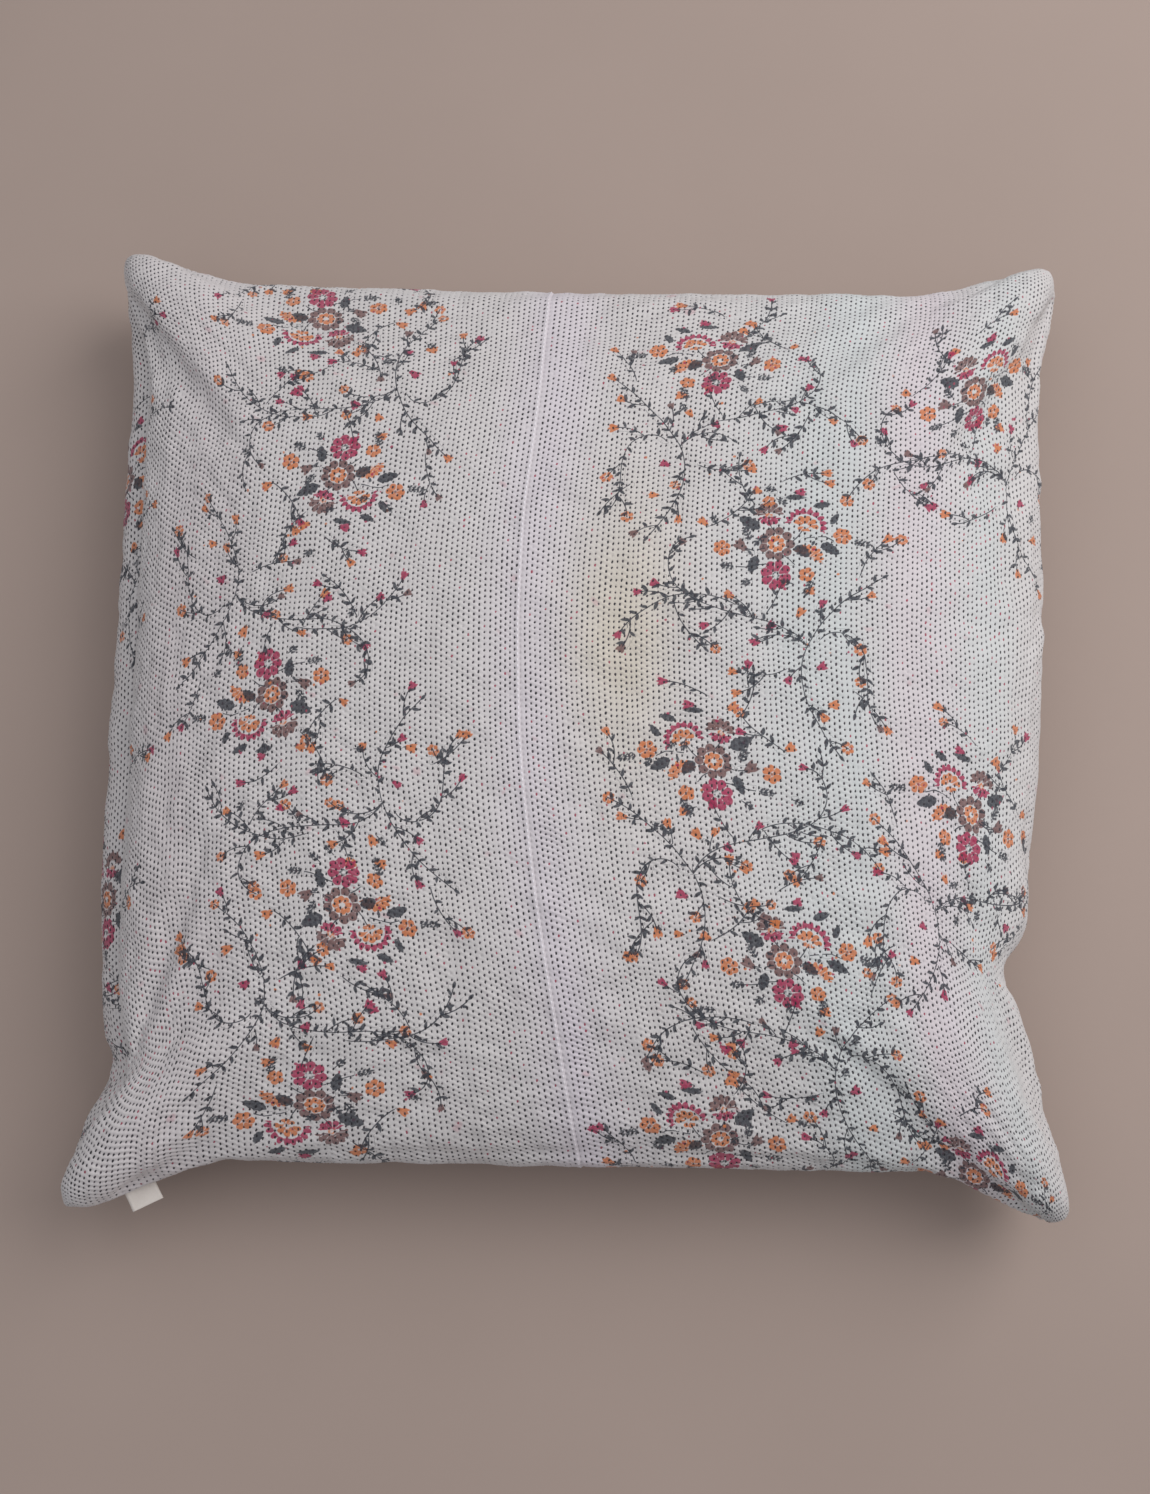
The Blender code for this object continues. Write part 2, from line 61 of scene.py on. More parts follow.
class Wire:
    """One output of a shader node. Arithmetic on it adds the Math nodes."""

    def __init__(self, tree, socket):
        self.tree = tree
        self.socket = socket

    def maths(self, operation, *values, clamp=False):
        node = self.tree.nodes.new("ShaderNodeMath")
        node.operation = operation
        node.use_clamp = clamp
        for slot, value in zip(node.inputs, values):
            join(self.tree, value, slot)
        return Wire(self.tree, node.outputs[0])

    def __add__(self, other):
        return self.maths("ADD", self, other)

    def __sub__(self, other):
        return self.maths("SUBTRACT", self, other)

    def __mul__(self, other):
        return self.maths("MULTIPLY", self, other)

    def __truediv__(self, other):
        return self.maths("DIVIDE", self, other)

    def __rsub__(self, other):
        return self.maths("SUBTRACT", other, self)

    __radd__ = __add__
    __rmul__ = __mul__

    def clipped(self):
        return self.maths("ADD", self, 0.0, clamp=True)

    def wave(self):
        return self.maths("SINE", self)

    def size(self):
        return self.maths("ABSOLUTE", self)

    def hump(self, middle, width):
        """1 where this value is at middle, falling to nothing about two widths away."""
        away = (self - middle) / width
        return self.maths("POWER", math.e, away * away * -1.0)


def join(tree, value, slot):
    """Links a wire to a socket, or sets the socket to a plain value."""
    if isinstance(value, Wire):
        tree.links.new(value.socket, slot)
    else:
        slot.default_value = value


class Finish:
    """A material on one Principled shader, with its constants set on the shader's sockets."""

    def __init__(self, name, **constants):
        self.material = bpy.data.materials.new(name)
        self.material.use_nodes = True
        self.tree = self.material.node_tree
        self.shader = self.tree.nodes["Principled BSDF"]
        for key, value in constants.items():
            self.shader.inputs[key.replace("_", " ")].default_value = value

    def node(self, kind, settings=None, output=0, **sockets):
        """Adds a node of a kind. A socket is named with _ for each space, or as _ and its number."""
        node = self.tree.nodes.new("ShaderNode" + kind)
        for key, value in (settings or {}).items():
            setattr(node, key, value)
        for key, value in sockets.items():
            slot = int(key[1:]) if key[0] == "_" else key.replace("_", " ")
            join(self.tree, value, node.inputs[slot])
        return Wire(self.tree, node.outputs[output])

    def place(self):
        """A point's place in the object's own frame, in metres."""
        return self.node("TexCoord", output=3)

    def parts(self, vector):
        """A vector's three numbers, each on a wire of its own."""
        split = self.node("SeparateXYZ", Vector=vector).socket.node
        return [Wire(self.tree, output) for output in split.outputs]

    def mix(self, share, first, second):
        """The first colour, going over to the second as share goes from 0 to 1."""
        settings = {"data_type": "RGBA", "clamp_factor": True}
        return self.node("Mix", settings, 2, _0=share, _6=first, _7=second)

    def noise(self, place, scale, detail=2.0, roughness=0.5):
        return self.node("TexNoise", Vector=place, Scale=scale, Detail=detail, Roughness=roughness)

    def attribute(self, name, output=2):
        """A value stored on the mesh: output 2 is a number, and 1 a vector."""
        return self.node("Attribute", {"attribute_name": name}, output)

    def feed(self, **wires):
        for key, wire in wires.items():
            join(self.tree, wire, self.shader.inputs[key.replace("_", " ")])

    def relief(self, height, depth, strength=1.0):
        """Feeds the shader's normal with a height from 0 to 1, as deep as depth."""
        self.feed(Normal=self.node("Bump", Height=height, Distance=depth, Strength=strength))


def colour(red, green, blue):
    """A shader colour from screen values of 0 to 255."""
    return (*[((c / 255 + 0.055) / 1.055) ** 2.4 for c in (red, green, blue)], 1.0)


FLOOR_HALF = 4.0
bpy.ops.mesh.primitive_plane_add(size=2 * FLOOR_HALF)
floor = bpy.context.object
floor.name = "studio_floor"
limewash = Finish("limewash", Roughness=0.82)
floor_place = limewash.place()
limewash.feed(
    Base_Color=limewash.mix(
        limewash.noise(floor_place, 3.0, 4.0), colour(157, 140, 131), colour(166, 148, 139)
    )
)
floor.data.materials.append(limewash.material)


def soft_light(name, place, width, power, tint):
    lamp = bpy.data.lights.new(name, "AREA")
    lamp.shape = "SQUARE"
    lamp.size = width
    lamp.energy = power
    lamp.color = tint
    holder = bpy.data.objects.new(name, lamp)
    SCENE.collection.objects.link(holder)
    holder.location = place
    holder.rotation_euler = (-Vector(place)).to_track_quat("-Z", "Y").to_euler()


soft_light("window", (1.8, 1.0, 2.2), 2.4, 61.0, (1.0, 0.985, 0.97))
soft_light("sky", (-0.6, 0.2, 3.2), 3.4, 27.0, (0.95, 0.97, 1.0))
room = bpy.data.worlds.new("room")
room.use_nodes = True
room.node_tree.nodes["Background"].inputs["Color"].default_value = (0.95, 0.96, 1.0, 1.0)
room.node_tree.nodes["Background"].inputs["Strength"].default_value = 0.38
SCENE.world = room
SCENE.view_settings.view_transform = "Standard"

CAMERA_PLACE = Vector((0.0, -0.283, 1.491))
CAMERA_AIM = Vector((-0.004, -0.029, 0.10))
camera_data = bpy.data.cameras.new("camera")
camera_data.lens = 41.1
camera_data.sensor_width = 36.0
camera = bpy.data.objects.new("camera", camera_data)
SCENE.collection.objects.link(camera)
camera.location = CAMERA_PLACE
camera.rotation_euler = (CAMERA_AIM - CAMERA_PLACE).to_track_quat("-Z", "Y").to_euler()
SCENE.camera = camera


# ---- stuffed bag: the form that every layer of the cushion follows ----------------------------
# Two square cuts of quilted cloth are sewn together round their rims, turned and stuffed. The
# edges pull in between the corners, the corners stand out as ears, the underside lies flat.

CUT_HALF = 0.435
BAG_CELLS = 96
MID_X = 0.385
CLOTH_PAST_TAPE = 0.0033
MID_Y = CLOTH_PAST_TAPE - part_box("zip_tape_front")[0].y
STRAIGHT = 0.66
EAR_ARC = 0.07
EAR_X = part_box("back_panel")[1].x - MID_X
EAR_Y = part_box("back_panel")[1].y - MID_Y
SEAM_HEIGHT = (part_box("zip_tape_front")[0].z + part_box("zip_tape_back")[1].z) / 2
CROWN_INSET = 0.003
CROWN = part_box("front_panel_right")[1].z - CROWN_INSET
EAR_DROP = 0.018
FULLNESS = 0.36
FLOOR_PRESS = 0.045
CLEAR_OF_FLOOR = 0.0015


def evened(rise):
    """The rule from a share of the flat cut to a share of the stuffed half width."""
    s = 1.0 - np.linspace(1.0, 0.0, 500) ** 2
    height = rise * (1.0 - s * s) ** FULLNESS
    length = np.concatenate([[0.0], np.cumsum(np.hypot(np.diff(s * MID_X), np.diff(height)))])
    return lambda a: np.sign(a) * np.interp(np.abs(a), length / length[-1], s)


spread = evened(CROWN / 2)


def past(t):
    """0 along the straight part of an edge, growing to 1 at its ear."""
    gone = np.clip((np.abs(t) - STRAIGHT) / (1.0 - STRAIGHT), 0.0, 1.0)
    blunt = np.clip(gone * (1.0 - STRAIGHT) / (1.0 - STRAIGHT - EAR_ARC), 0.0, 1.0)
    return 0.5 * gone**2 + 0.5 * blunt**2 * (3.0 - 2.0 * blunt)


def blunted(s, t):
    """Shares with the corners of their square rounded, so that an ear ends in an arc."""
    p = np.maximum(np.abs(s) - 1.0 + EAR_ARC, 0.0) / EAR_ARC
    q = np.maximum(np.abs(t) - 1.0 + EAR_ARC, 0.0) / EAR_ARC
    s = s - np.sign(s) * EAR_ARC * p * (1.0 - np.sqrt(1.0 - q * q / 2.0))
    t = t - np.sign(t) * EAR_ARC * q * (1.0 - np.sqrt(1.0 - p * p / 2.0))
    return s, t


def swell(t, middle, width):
    """A smooth hump, 1 at middle and gone about two widths away."""
    return np.exp(-(((t - middle) / width) ** 2))


def roll(w, width):
    """0 at a seam, 1 at width from it, and falling off again beyond."""
    return w / width * np.exp(1.0 - w / width)


def stuffed(a, b, side):
    """Where the cloth at (a, b) lies before it settles. Side is 1 in front and -1 behind."""
    s, t = spread(a), spread(b)
    across, along = np.maximum(1.0 - s * s, 0.0), np.maximum(1.0 - t * t, 0.0)
    full = (across * along / np.maximum(across + along - across * along, 1e-9)) ** FULLNESS
    seam = SEAM_HEIGHT - EAR_DROP * past(s) * past(t)
    s, t = blunted(s, t)
    x = s * (MID_X + EAR_X * past(t))
    y = t * (MID_Y + EAR_Y * past(s))
    if side > 0:
        z = seam + (CROWN - seam) * full
    else:
        z = np.maximum(seam - (seam + FLOOR_PRESS) * full, CLEAR_OF_FLOOR)
    between_x, between_y = 1.0 - past(s), 1.0 - past(t)
    # cloth rolls out past the seams, most at the far edge in front and at the left behind
    x += (0.005 + 0.004 * (side < 0)) * roll(1.0 - a, 0.06) * between_y * (a > 0)
    x -= (0.022 * (side < 0)) * roll(1.0 + a, 0.09) * between_y * (a < 0)
    y += (0.011 - 0.004 * (side < 0)) * roll(1.0 - b, 0.06) * between_x * (b > 0)
    y -= 0.006 * roll(1.0 + b, 0.06) * between_x * (b < 0)
    # the left seam has rolled up and in; the sides are nipped in above the near ears
    rolled = (1.0 - past(t * 0.96)) * np.exp(-(1.0 + a) / 0.10)
    x += 0.018 * (1.0 - past(t * 0.96)) * np.exp(-(1.0 + a) / (0.05 if side < 0 else 0.22))
    z += 0.032 * rolled
    right_nip = 0.022 * swell(b, -0.47, 0.060) + 0.011 * swell(b, -0.50, 0.22)
    right_nip += 0.016 * np.clip((0.15 - b) / 0.4, 0.0, 1.0)
    left_nip = 0.014 * swell(b, -0.66, 0.06) + 0.008 * swell(b, -0.60, 0.16)
    x -= right_nip * np.exp(-(((1.0 - a) / 0.20) ** 2))
    x += left_nip * np.exp(-(((1.0 + a) / 0.20) ** 2))
    return np.stack([x, y, z], axis=-1)


def mesh_piece(name, points, faces):
    """A smooth mesh piece from points and faces of one number of corners."""
    mesh = bpy.data.meshes.new(name)
    mesh.vertices.add(len(points))
    mesh.vertices.foreach_set("co", np.ascontiguousarray(points, np.float32).ravel())
    mesh.loops.add(faces.size)
    mesh.loops.foreach_set("vertex_index", faces.astype(np.int32).ravel())
    mesh.polygons.add(len(faces))
    starts = np.arange(0, faces.size, faces.shape[1], dtype=np.int32)
    mesh.polygons.foreach_set("loop_start", starts)
    mesh.update(calc_edges=True)
    mesh.shade_smooth()
    piece = bpy.data.objects.new(name, mesh)
    SCENE.collection.objects.link(piece)
    return piece


def lattice_faces(number):
    """Four-cornered faces over a lattice of vertex numbers."""
    corners = [number[:-1, :-1], number[:-1, 1:], number[1:, 1:], number[1:, :-1]]
    return np.stack(corners, axis=-1).reshape(-1, 4)


def closed_bag(front, back):
    """Both cuts of a bag as one closed mesh: its points, its faces, and the cuts' own numbering."""
    size = BAG_CELLS + 1
    front_number = np.arange(size * size).reshape(size, size)
    back_number = front_number.copy()
    inner = size - 2
    back_number[1:-1, 1:-1] = size * size + np.arange(inner * inner).reshape(inner, inner)
    points = np.concatenate([front.reshape(-1, 3), back[1:-1, 1:-1].reshape(-1, 3)])
    faces = np.concatenate([lattice_faces(front_number), lattice_faces(back_number)[:, ::-1]])
    return points, faces, front_number, back_number


def settle(bag, frames=16, furthest=0.009):
    """Lets the two cuts find their own creases: a cloth simulation of the stuffed bag.

    The cloth is as long as its flat cut, the seam is held, and no point moves further than
    furthest. Returns the settled lattices.
    """
    points, faces, front_number, back_number = closed_bag(bag[1], bag[-1])
    piece = mesh_piece("settling_bag", points, faces)
    piece.shape_key_add(name="stuffed")
    flat_key = piece.shape_key_add(name="flat_cut")
    flat = np.stack([A * CUT_HALF, B * CUT_HALF, 0.0 * A], axis=-1)
    flat = closed_bag(flat, flat)[0]
    flat_key.data.foreach_set("co", flat.astype(np.float32).ravel())
    rim = np.ones(front_number.shape, bool)
    rim[1:-1, 1:-1] = False
    held = piece.vertex_groups.new(name="seam")
    held.add(front_number[rim].tolist(), 1.0, "REPLACE")
    cloth = piece.modifiers.new("stuffing", "CLOTH")
    cloth.settings.quality = 6
    cloth.settings.mass = 0.004
    cloth.settings.tension_stiffness = 18.0
    cloth.settings.compression_stiffness = 18.0
    cloth.settings.shear_stiffness = 6.0
    cloth.settings.bending_stiffness = 0.8
    cloth.settings.use_pressure = True
    cloth.settings.uniform_pressure_force = 1.5
    cloth.settings.effector_weights.gravity = 0.0
    cloth.settings.vertex_group_mass = "seam"
    cloth.settings.rest_shape_key = flat_key
    cloth.collision_settings.use_collision = False
    for step in range(1, frames + 1):
        SCENE.frame_set(step)
    seen = piece.evaluated_get(bpy.context.evaluated_depsgraph_get()).data
    moved = np.zeros(len(points) * 3, np.float32)
    seen.vertices.foreach_get("co", moved)
    moved = moved.reshape(-1, 3) - points
    far = np.linalg.norm(moved, axis=1, keepdims=True)
    moved *= furthest / np.maximum(far, furthest)
    points = points + moved
    points[:, 2] = np.maximum(points[:, 2], CLEAR_OF_FLOOR)
    SCENE.frame_set(1)
    bpy.data.objects.remove(piece)
    return {1: points[front_number], -1: points[back_number]}


shares = np.linspace(-1.0, 1.0, BAG_CELLS + 1)
A, B = np.meshgrid(shares, shares)
bag = {side: stuffed(A, B, side) for side in (1, -1)}
bag = settle(bag)


def bicubic(grid, a, b):
    """Reads a lattice of points smoothly between its own places, at shares a and b."""
    rows, columns = grid.shape[0] - 1, grid.shape[1] - 1
    padded = np.pad(grid, ((1, 1), (1, 1), (0, 0)), mode="reflect", reflect_type="odd")
    fx = np.clip((a + 1.0) / 2.0 * columns, 0.0, columns - 1e-6)
    fy = np.clip((b + 1.0) / 2.0 * rows, 0.0, rows - 1e-6)
    ix, iy = fx.astype(int), fy.astype(int)

    def weights(f):
        return [
            ((-0.5 * f + 1.0) * f - 0.5) * f,
            (1.5 * f - 2.5) * f * f + 1.0,
            ((-1.5 * f + 2.0) * f + 0.5) * f,
            (0.5 * f - 0.5) * f * f,
        ]

    total = np.zeros((*a.shape, grid.shape[2]))
    for j, wy in enumerate(weights(fy - iy)):
        for i, wx in enumerate(weights(fx - ix)):
            total += padded[iy + j, ix + i] * (wx * wy)[..., None]
    return total


def unit(vectors):
    return vectors / np.maximum(np.linalg.norm(vectors, axis=-1, keepdims=True), 1e-12)


# ---- quilting: the cover's cloth, with its rows of running stitch -----------------------------
# Layers of old cotton are held together by dark thread, in wavering rows of small running
# stitches along the cushion. Each stitch draws the cloth down, and it puffs up between them.

PITCH_X = 0.0042
PITCH_Y = 0.0052
COLUMNS = 2 * round(CUT_HALF / PITCH_X)
ROWS = 2 * round(CUT_HALF / PITCH_Y)
PUFF = 0.0011
DIMPLE = 0.0012
JOIN_SHARE = -0.088
JOIN_COLUMN = round((1.0 + JOIN_SHARE) / 2.0 * COLUMNS)
HEM_COLUMNS = 1
HEM_STEP = 0.0008
chance = np.random.default_rng(7)

# Each row of stitches starts a little off from its neighbour, often by half a stitch.
stagger = 0.5 * np.arange(COLUMNS + 1) + np.cumsum(chance.normal(0.0, 0.10, COLUMNS + 1))
stagger += 0.5 * np.cumsum(chance.random(COLUMNS + 1) < 0.22)


def ripple(seed, cells, a, b):
    """Soft random waves of about -1 to 1, with so many across the cut (and along it)."""
    grid = np.random.default_rng(seed).normal(size=(cells[1] + 1, cells[0] + 1, 1))
    return bicubic(grid, a, b)[..., 0]


def slipped(a, b):
    """How far, in shares, the front has slipped sideways on the stuffing, and the join with it."""
    sway = 0.030 * swell(b, 1.05, 0.5) - 0.030 * swell(b, 0.10, 0.60) + 0.115 * swell(b, -1.15, 0.62)
    return sway * (1.0 - a * a)


def wandered(I, J):
    """Shares of a place counted in stitches: rows of hand stitching waver a little."""
    a = 2.0 * I / COLUMNS - 1.0
    b = 2.0 * J / ROWS - 1.0
    inside = np.clip(np.minimum(1.0 - np.abs(a), 1.0 - np.abs(b)) * 12.0, 0.0, 1.0)
    wave_x = 0.0016 * ripple(11, (14, 9), a, b) + 0.0009 * ripple(12, (60, 16), a, b)
    wave_y = 0.0034 * ripple(13, (16, 12), a, b) + 0.0016 * ripple(14, (44, 30), a, b)
    return a + inside * wave_x, b + inside * wave_y


# Behind, the stitch rows keep an even spacing round the rolled left edge.
across_back = np.linspace(-1.0, 1.0, 401)
back_row = bicubic(bag[-1], across_back, 0.0 * across_back)
back_length = np.linalg.norm(np.diff(back_row, axis=0), axis=1).cumsum()
back_share = np.concatenate([[0.0], back_length]) / back_length[-1] * 2.0 - 1.0


def even_behind(a, b):
    """How far, in shares, a back row moves so that the cloth between rows isn't stretched."""
    away_from_ears = np.clip((1.0 - np.abs(b)) / 0.35, 0.0, 1.0)
    fade = away_from_ears * away_from_ears * (3.0 - 2.0 * away_from_ears)
    return fade * (np.interp(a, back_share, across_back) - a)


def cloth_place(I, J, side):
    """The cover's smooth surface at a place counted in stitches."""
    a, b = wandered(I, J)
    slip = slipped(a, b) if side > 0 else even_behind(a, b)
    return bicubic(bag[side], np.clip(a + slip, -1.0, 1.0), b)


def facing(I, J, side):
    """The outward direction of the cover's smooth surface."""
    step = 0.5
    east = cloth_place(I + step, J, side) - cloth_place(I - step, J, side)
    north = cloth_place(I, J + step, side) - cloth_place(I, J - step, side)
    return unit(np.cross(east, north)) * side


def dimples(I, J):
    """1 at each stitch and nothing between them, with the waves across and along behind it."""
    phase = np.interp(I, np.arange(COLUMNS + 1), stagger)
    over, along = np.cos(2.0 * np.pi * I), np.cos(2.0 * np.pi * (J + phase))
    return np.exp((over - 1.0) * 1.3 + (along - 1.0) * 0.7), over, along


def puckers(I, J):
    """Height of the quilted relief, its stitches' dimples and its uneven crumple."""
    dimple, over, along = dimples(I, J)
    a, b = 2.0 * I / COLUMNS - 1.0, 2.0 * J / ROWS - 1.0
    lively = 1.0 + 0.35 * ripple(21, (40, 40), a, b)
    crumple = 0.0006 * ripple(22, (30, 44), a, b) + 0.0004 * ripple(23, (70, 90), a, b)
    return PUFF * lively * (0.5 - 0.5 * along) * (0.8 + 0.2 * over) - DIMPLE * dimple + crumple


def hem_rise(I, side_of_join):
    """The lapped join: the left panel's folded edge lies on the right panel."""
    from_edge = JOIN_COLUMN - I
    if side_of_join == "left":
        up = np.clip((HEM_COLUMNS + 0.3 - from_edge) / 0.6, 0.0, 1.0)
        over_edge = np.clip((0.34 - from_edge) / 0.34, 0.0, 1.0)
        return HEM_STEP * (up - 1.1 * over_edge**2)
    return -HEM_STEP * 0.5 * np.clip((0.6 + from_edge) / 0.6, 0.0, 1.0)


SEAM_TUCK = 0.0032
ZIP_HALF = 0.250
ZIP_LIP = 0.0056
LIP_FADE = 0.004
FLATTEST_BEHIND = 0.0008
ABOVE_FLOOR = 0.0002
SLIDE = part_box("zip_slider")[0].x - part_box("zip_bottom_stop")[1].x
BED_INSET = 0.004
BED_CLEARANCE = 0.0008
BED_HALF_WIDTH = 0.012
BED_HALF_HEIGHT = 0.010
BED_FADE_X = 0.005
BED_FADE_Z = 0.004
BED_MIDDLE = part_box("zip_pull_tab")[0].x - SLIDE + BED_INSET
BED_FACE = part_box("zip_pull_tab")[1].y + BED_CLEARANCE


def tuck_rim(points, I, J, side):
    """Draws the rim in under the seam, and parts it into two lips along the zip."""
    low = np.clip(1.0 - np.minimum(I, COLUMNS - I) / 0.9, 0.0, 1.0)
    low_y = np.clip(1.0 - np.minimum(J, ROWS - J) / 0.9, 0.0, 1.0)
    points = points.copy()
    points[..., 0] -= np.sign(points[..., 0]) * SEAM_TUCK * low**1.5
    points[..., 1] -= np.sign(points[..., 1]) * SEAM_TUCK * low_y**1.5
    along_zip = np.clip((ZIP_HALF + LIP_FADE - np.abs(points[..., 0])) / LIP_FADE, 0.0, 1.0)
    near_zip = np.exp(-J / 2.2) * along_zip * along_zip * (3.0 - 2.0 * along_zip)
    points[..., 2] += side * ZIP_LIP * near_zip
    # past the bottom stop, the cloth is pressed flat where the pull tab comes to lie on it
    near_x = np.clip((BED_HALF_WIDTH - np.abs(points[..., 0] - BED_MIDDLE)) / BED_FADE_X, 0.0, 1.0)
    near_z = np.clip((BED_HALF_HEIGHT - np.abs(points[..., 2] - SEAM_HEIGHT)) / BED_FADE_Z, 0.0, 1.0)
    in_front = (points[..., 1] < 0.0) * near_x * near_z
    flattened = np.maximum(points[..., 1], BED_FACE)
    points[..., 1] += (flattened - points[..., 1]) * in_front
    return points


def quilted(first, last, side, across, along, join_side=None):
    """A panel's lattice: its points, and each point's place counted in stitches."""
    I, J = np.meshgrid(
        np.linspace(first, last, (last - first) * across + 1), np.linspace(0, ROWS, ROWS * along + 1)
    )
    height = puckers(I, J)
    if join_side:
        hem = np.clip((HEM_COLUMNS - (JOIN_COLUMN - I)) * 2.0, 0.0, 1.0) * (join_side == "left")
        height = height * (1.0 - 0.25 * hem) + hem_rise(I, join_side)
    fade = np.clip(np.minimum(np.minimum(I, COLUMNS - I), np.minimum(J, ROWS - J)) / 1.5, 0.0, 1.0)
    height = height * fade
    if side < 0:
        height = np.maximum(height, -FLATTEST_BEHIND)
    points = cloth_place(I, J, side) + facing(I, J, side) * height[..., None]
    points = tuck_rim(points, I, J, side)
    points[..., 2] = np.maximum(points[..., 2], ABOVE_FLOOR)
    return points, I, J


# ---- print: bands of flowers and vines, block-printed before the quilting ---------------------
# Four inks: slate leaves and vines, crimson, orange and brown flowers. Each ink is kept on the
# cloth as how far inside its nearest shape a point lies, in millimetres, so edges stay clean.

INKS = ("slate", "crimson", "orange", "brown")


class Print:
    """The inks on one panel's lattice, whose places are in millimetres of flat cloth."""

    def __init__(self, I, J):
        self.across = (I[0] / COLUMNS * 2.0 - 1.0) * CUT_HALF * 1000.0
        self.along = (J[:, 0] / ROWS * 2.0 - 1.0) * CUT_HALF * 1000.0
        self.inks = {ink: np.full(I.shape, -4.0) for ink in INKS}
        self.vine_side = np.full(I.shape, 4.0)

    def window(self, x, y, reach):
        columns = np.searchsorted(self.across, (x - reach, x + reach))
        rows = np.searchsorted(self.along, (y - reach, y + reach))
        return slice(*rows), slice(*columns)

    def stamp(self, ink, x, y, turn, reach, inside):
        """Prints a shape. inside(u, v) says how far in a point is, with v up the turned shape."""
        rows, columns = self.window(x, y, reach)
        du = self.across[columns][None, :] - x
        dv = self.along[rows][:, None] - y
        if du.size and dv.size:
            cosine, sine = math.cos(turn), math.sin(turn)
            depth = inside(du * cosine + dv * sine, dv * cosine - du * sine)
            self.inks[ink][rows, columns] = np.maximum(self.inks[ink][rows, columns], depth)

    def stroke(self, path):
        """Prints a fine line: a point keeps its distance to the nearest one, signed by its side."""
        for (x0, y0), (x1, y1) in zip(path, path[1:]):
            rows, columns = self.window((x0 + x1) / 2, (y0 + y1) / 2, 4.0)
            du = self.across[columns][None, :] - x0
            dv = self.along[rows][:, None] - y0
            if not du.size or not dv.size:
                continue
            ex, ey = x1 - x0, y1 - y0
            share = np.clip((du * ex + dv * ey) / (ex * ex + ey * ey), 0.0, 1.0)
            off = np.hypot(du - share * ex, dv - share * ey)
            signed = off * np.where(du * ey - dv * ex > 0, 1.0, -1.0)
            old = self.vine_side[rows, columns]
            self.vine_side[rows, columns] = np.where(off < np.abs(old), signed, old)


def leaf(length, width, serrated=False):
    def inside(u, v):
        share = np.clip(v / length, 0.0, 1.0)
        half = width / 2 * np.sin(np.pi * share**0.8) ** 0.8
        if serrated:
            half = half * (0.86 + 0.14 * np.cos(share * 30.0))
            return np.minimum(np.minimum(half - np.abs(u), np.abs(u) + 0.1), v)
        return np.minimum(np.minimum(half - np.abs(u), v), length - v)

    return inside


def petals(count, outer, inner, gap=0.9, fan=math.pi):
    """A ring of petals between two radii, or an open fan of them up the shape."""

    def inside(u, v):
        radius = np.hypot(u, v)
        turn = np.arctan2(u, v)
        step = 2.0 * fan / count
        phi = (turn / step + 0.5) % 1.0 - 0.5
        edge = outer - 0.20 * outer * (2.0 * np.abs(phi)) ** 2
        between = radius * np.sin(np.minimum((0.5 - np.abs(phi)) * step, 1.5)) - gap / 2
        depth = np.minimum(np.minimum(edge - radius, radius - inner), between)
        if fan < math.pi:
            depth = np.where(np.abs(turn) <= fan, depth, -4.0)
        return depth

    return inside


def disc(radius):
    return lambda u, v: radius - np.hypot(u, v)


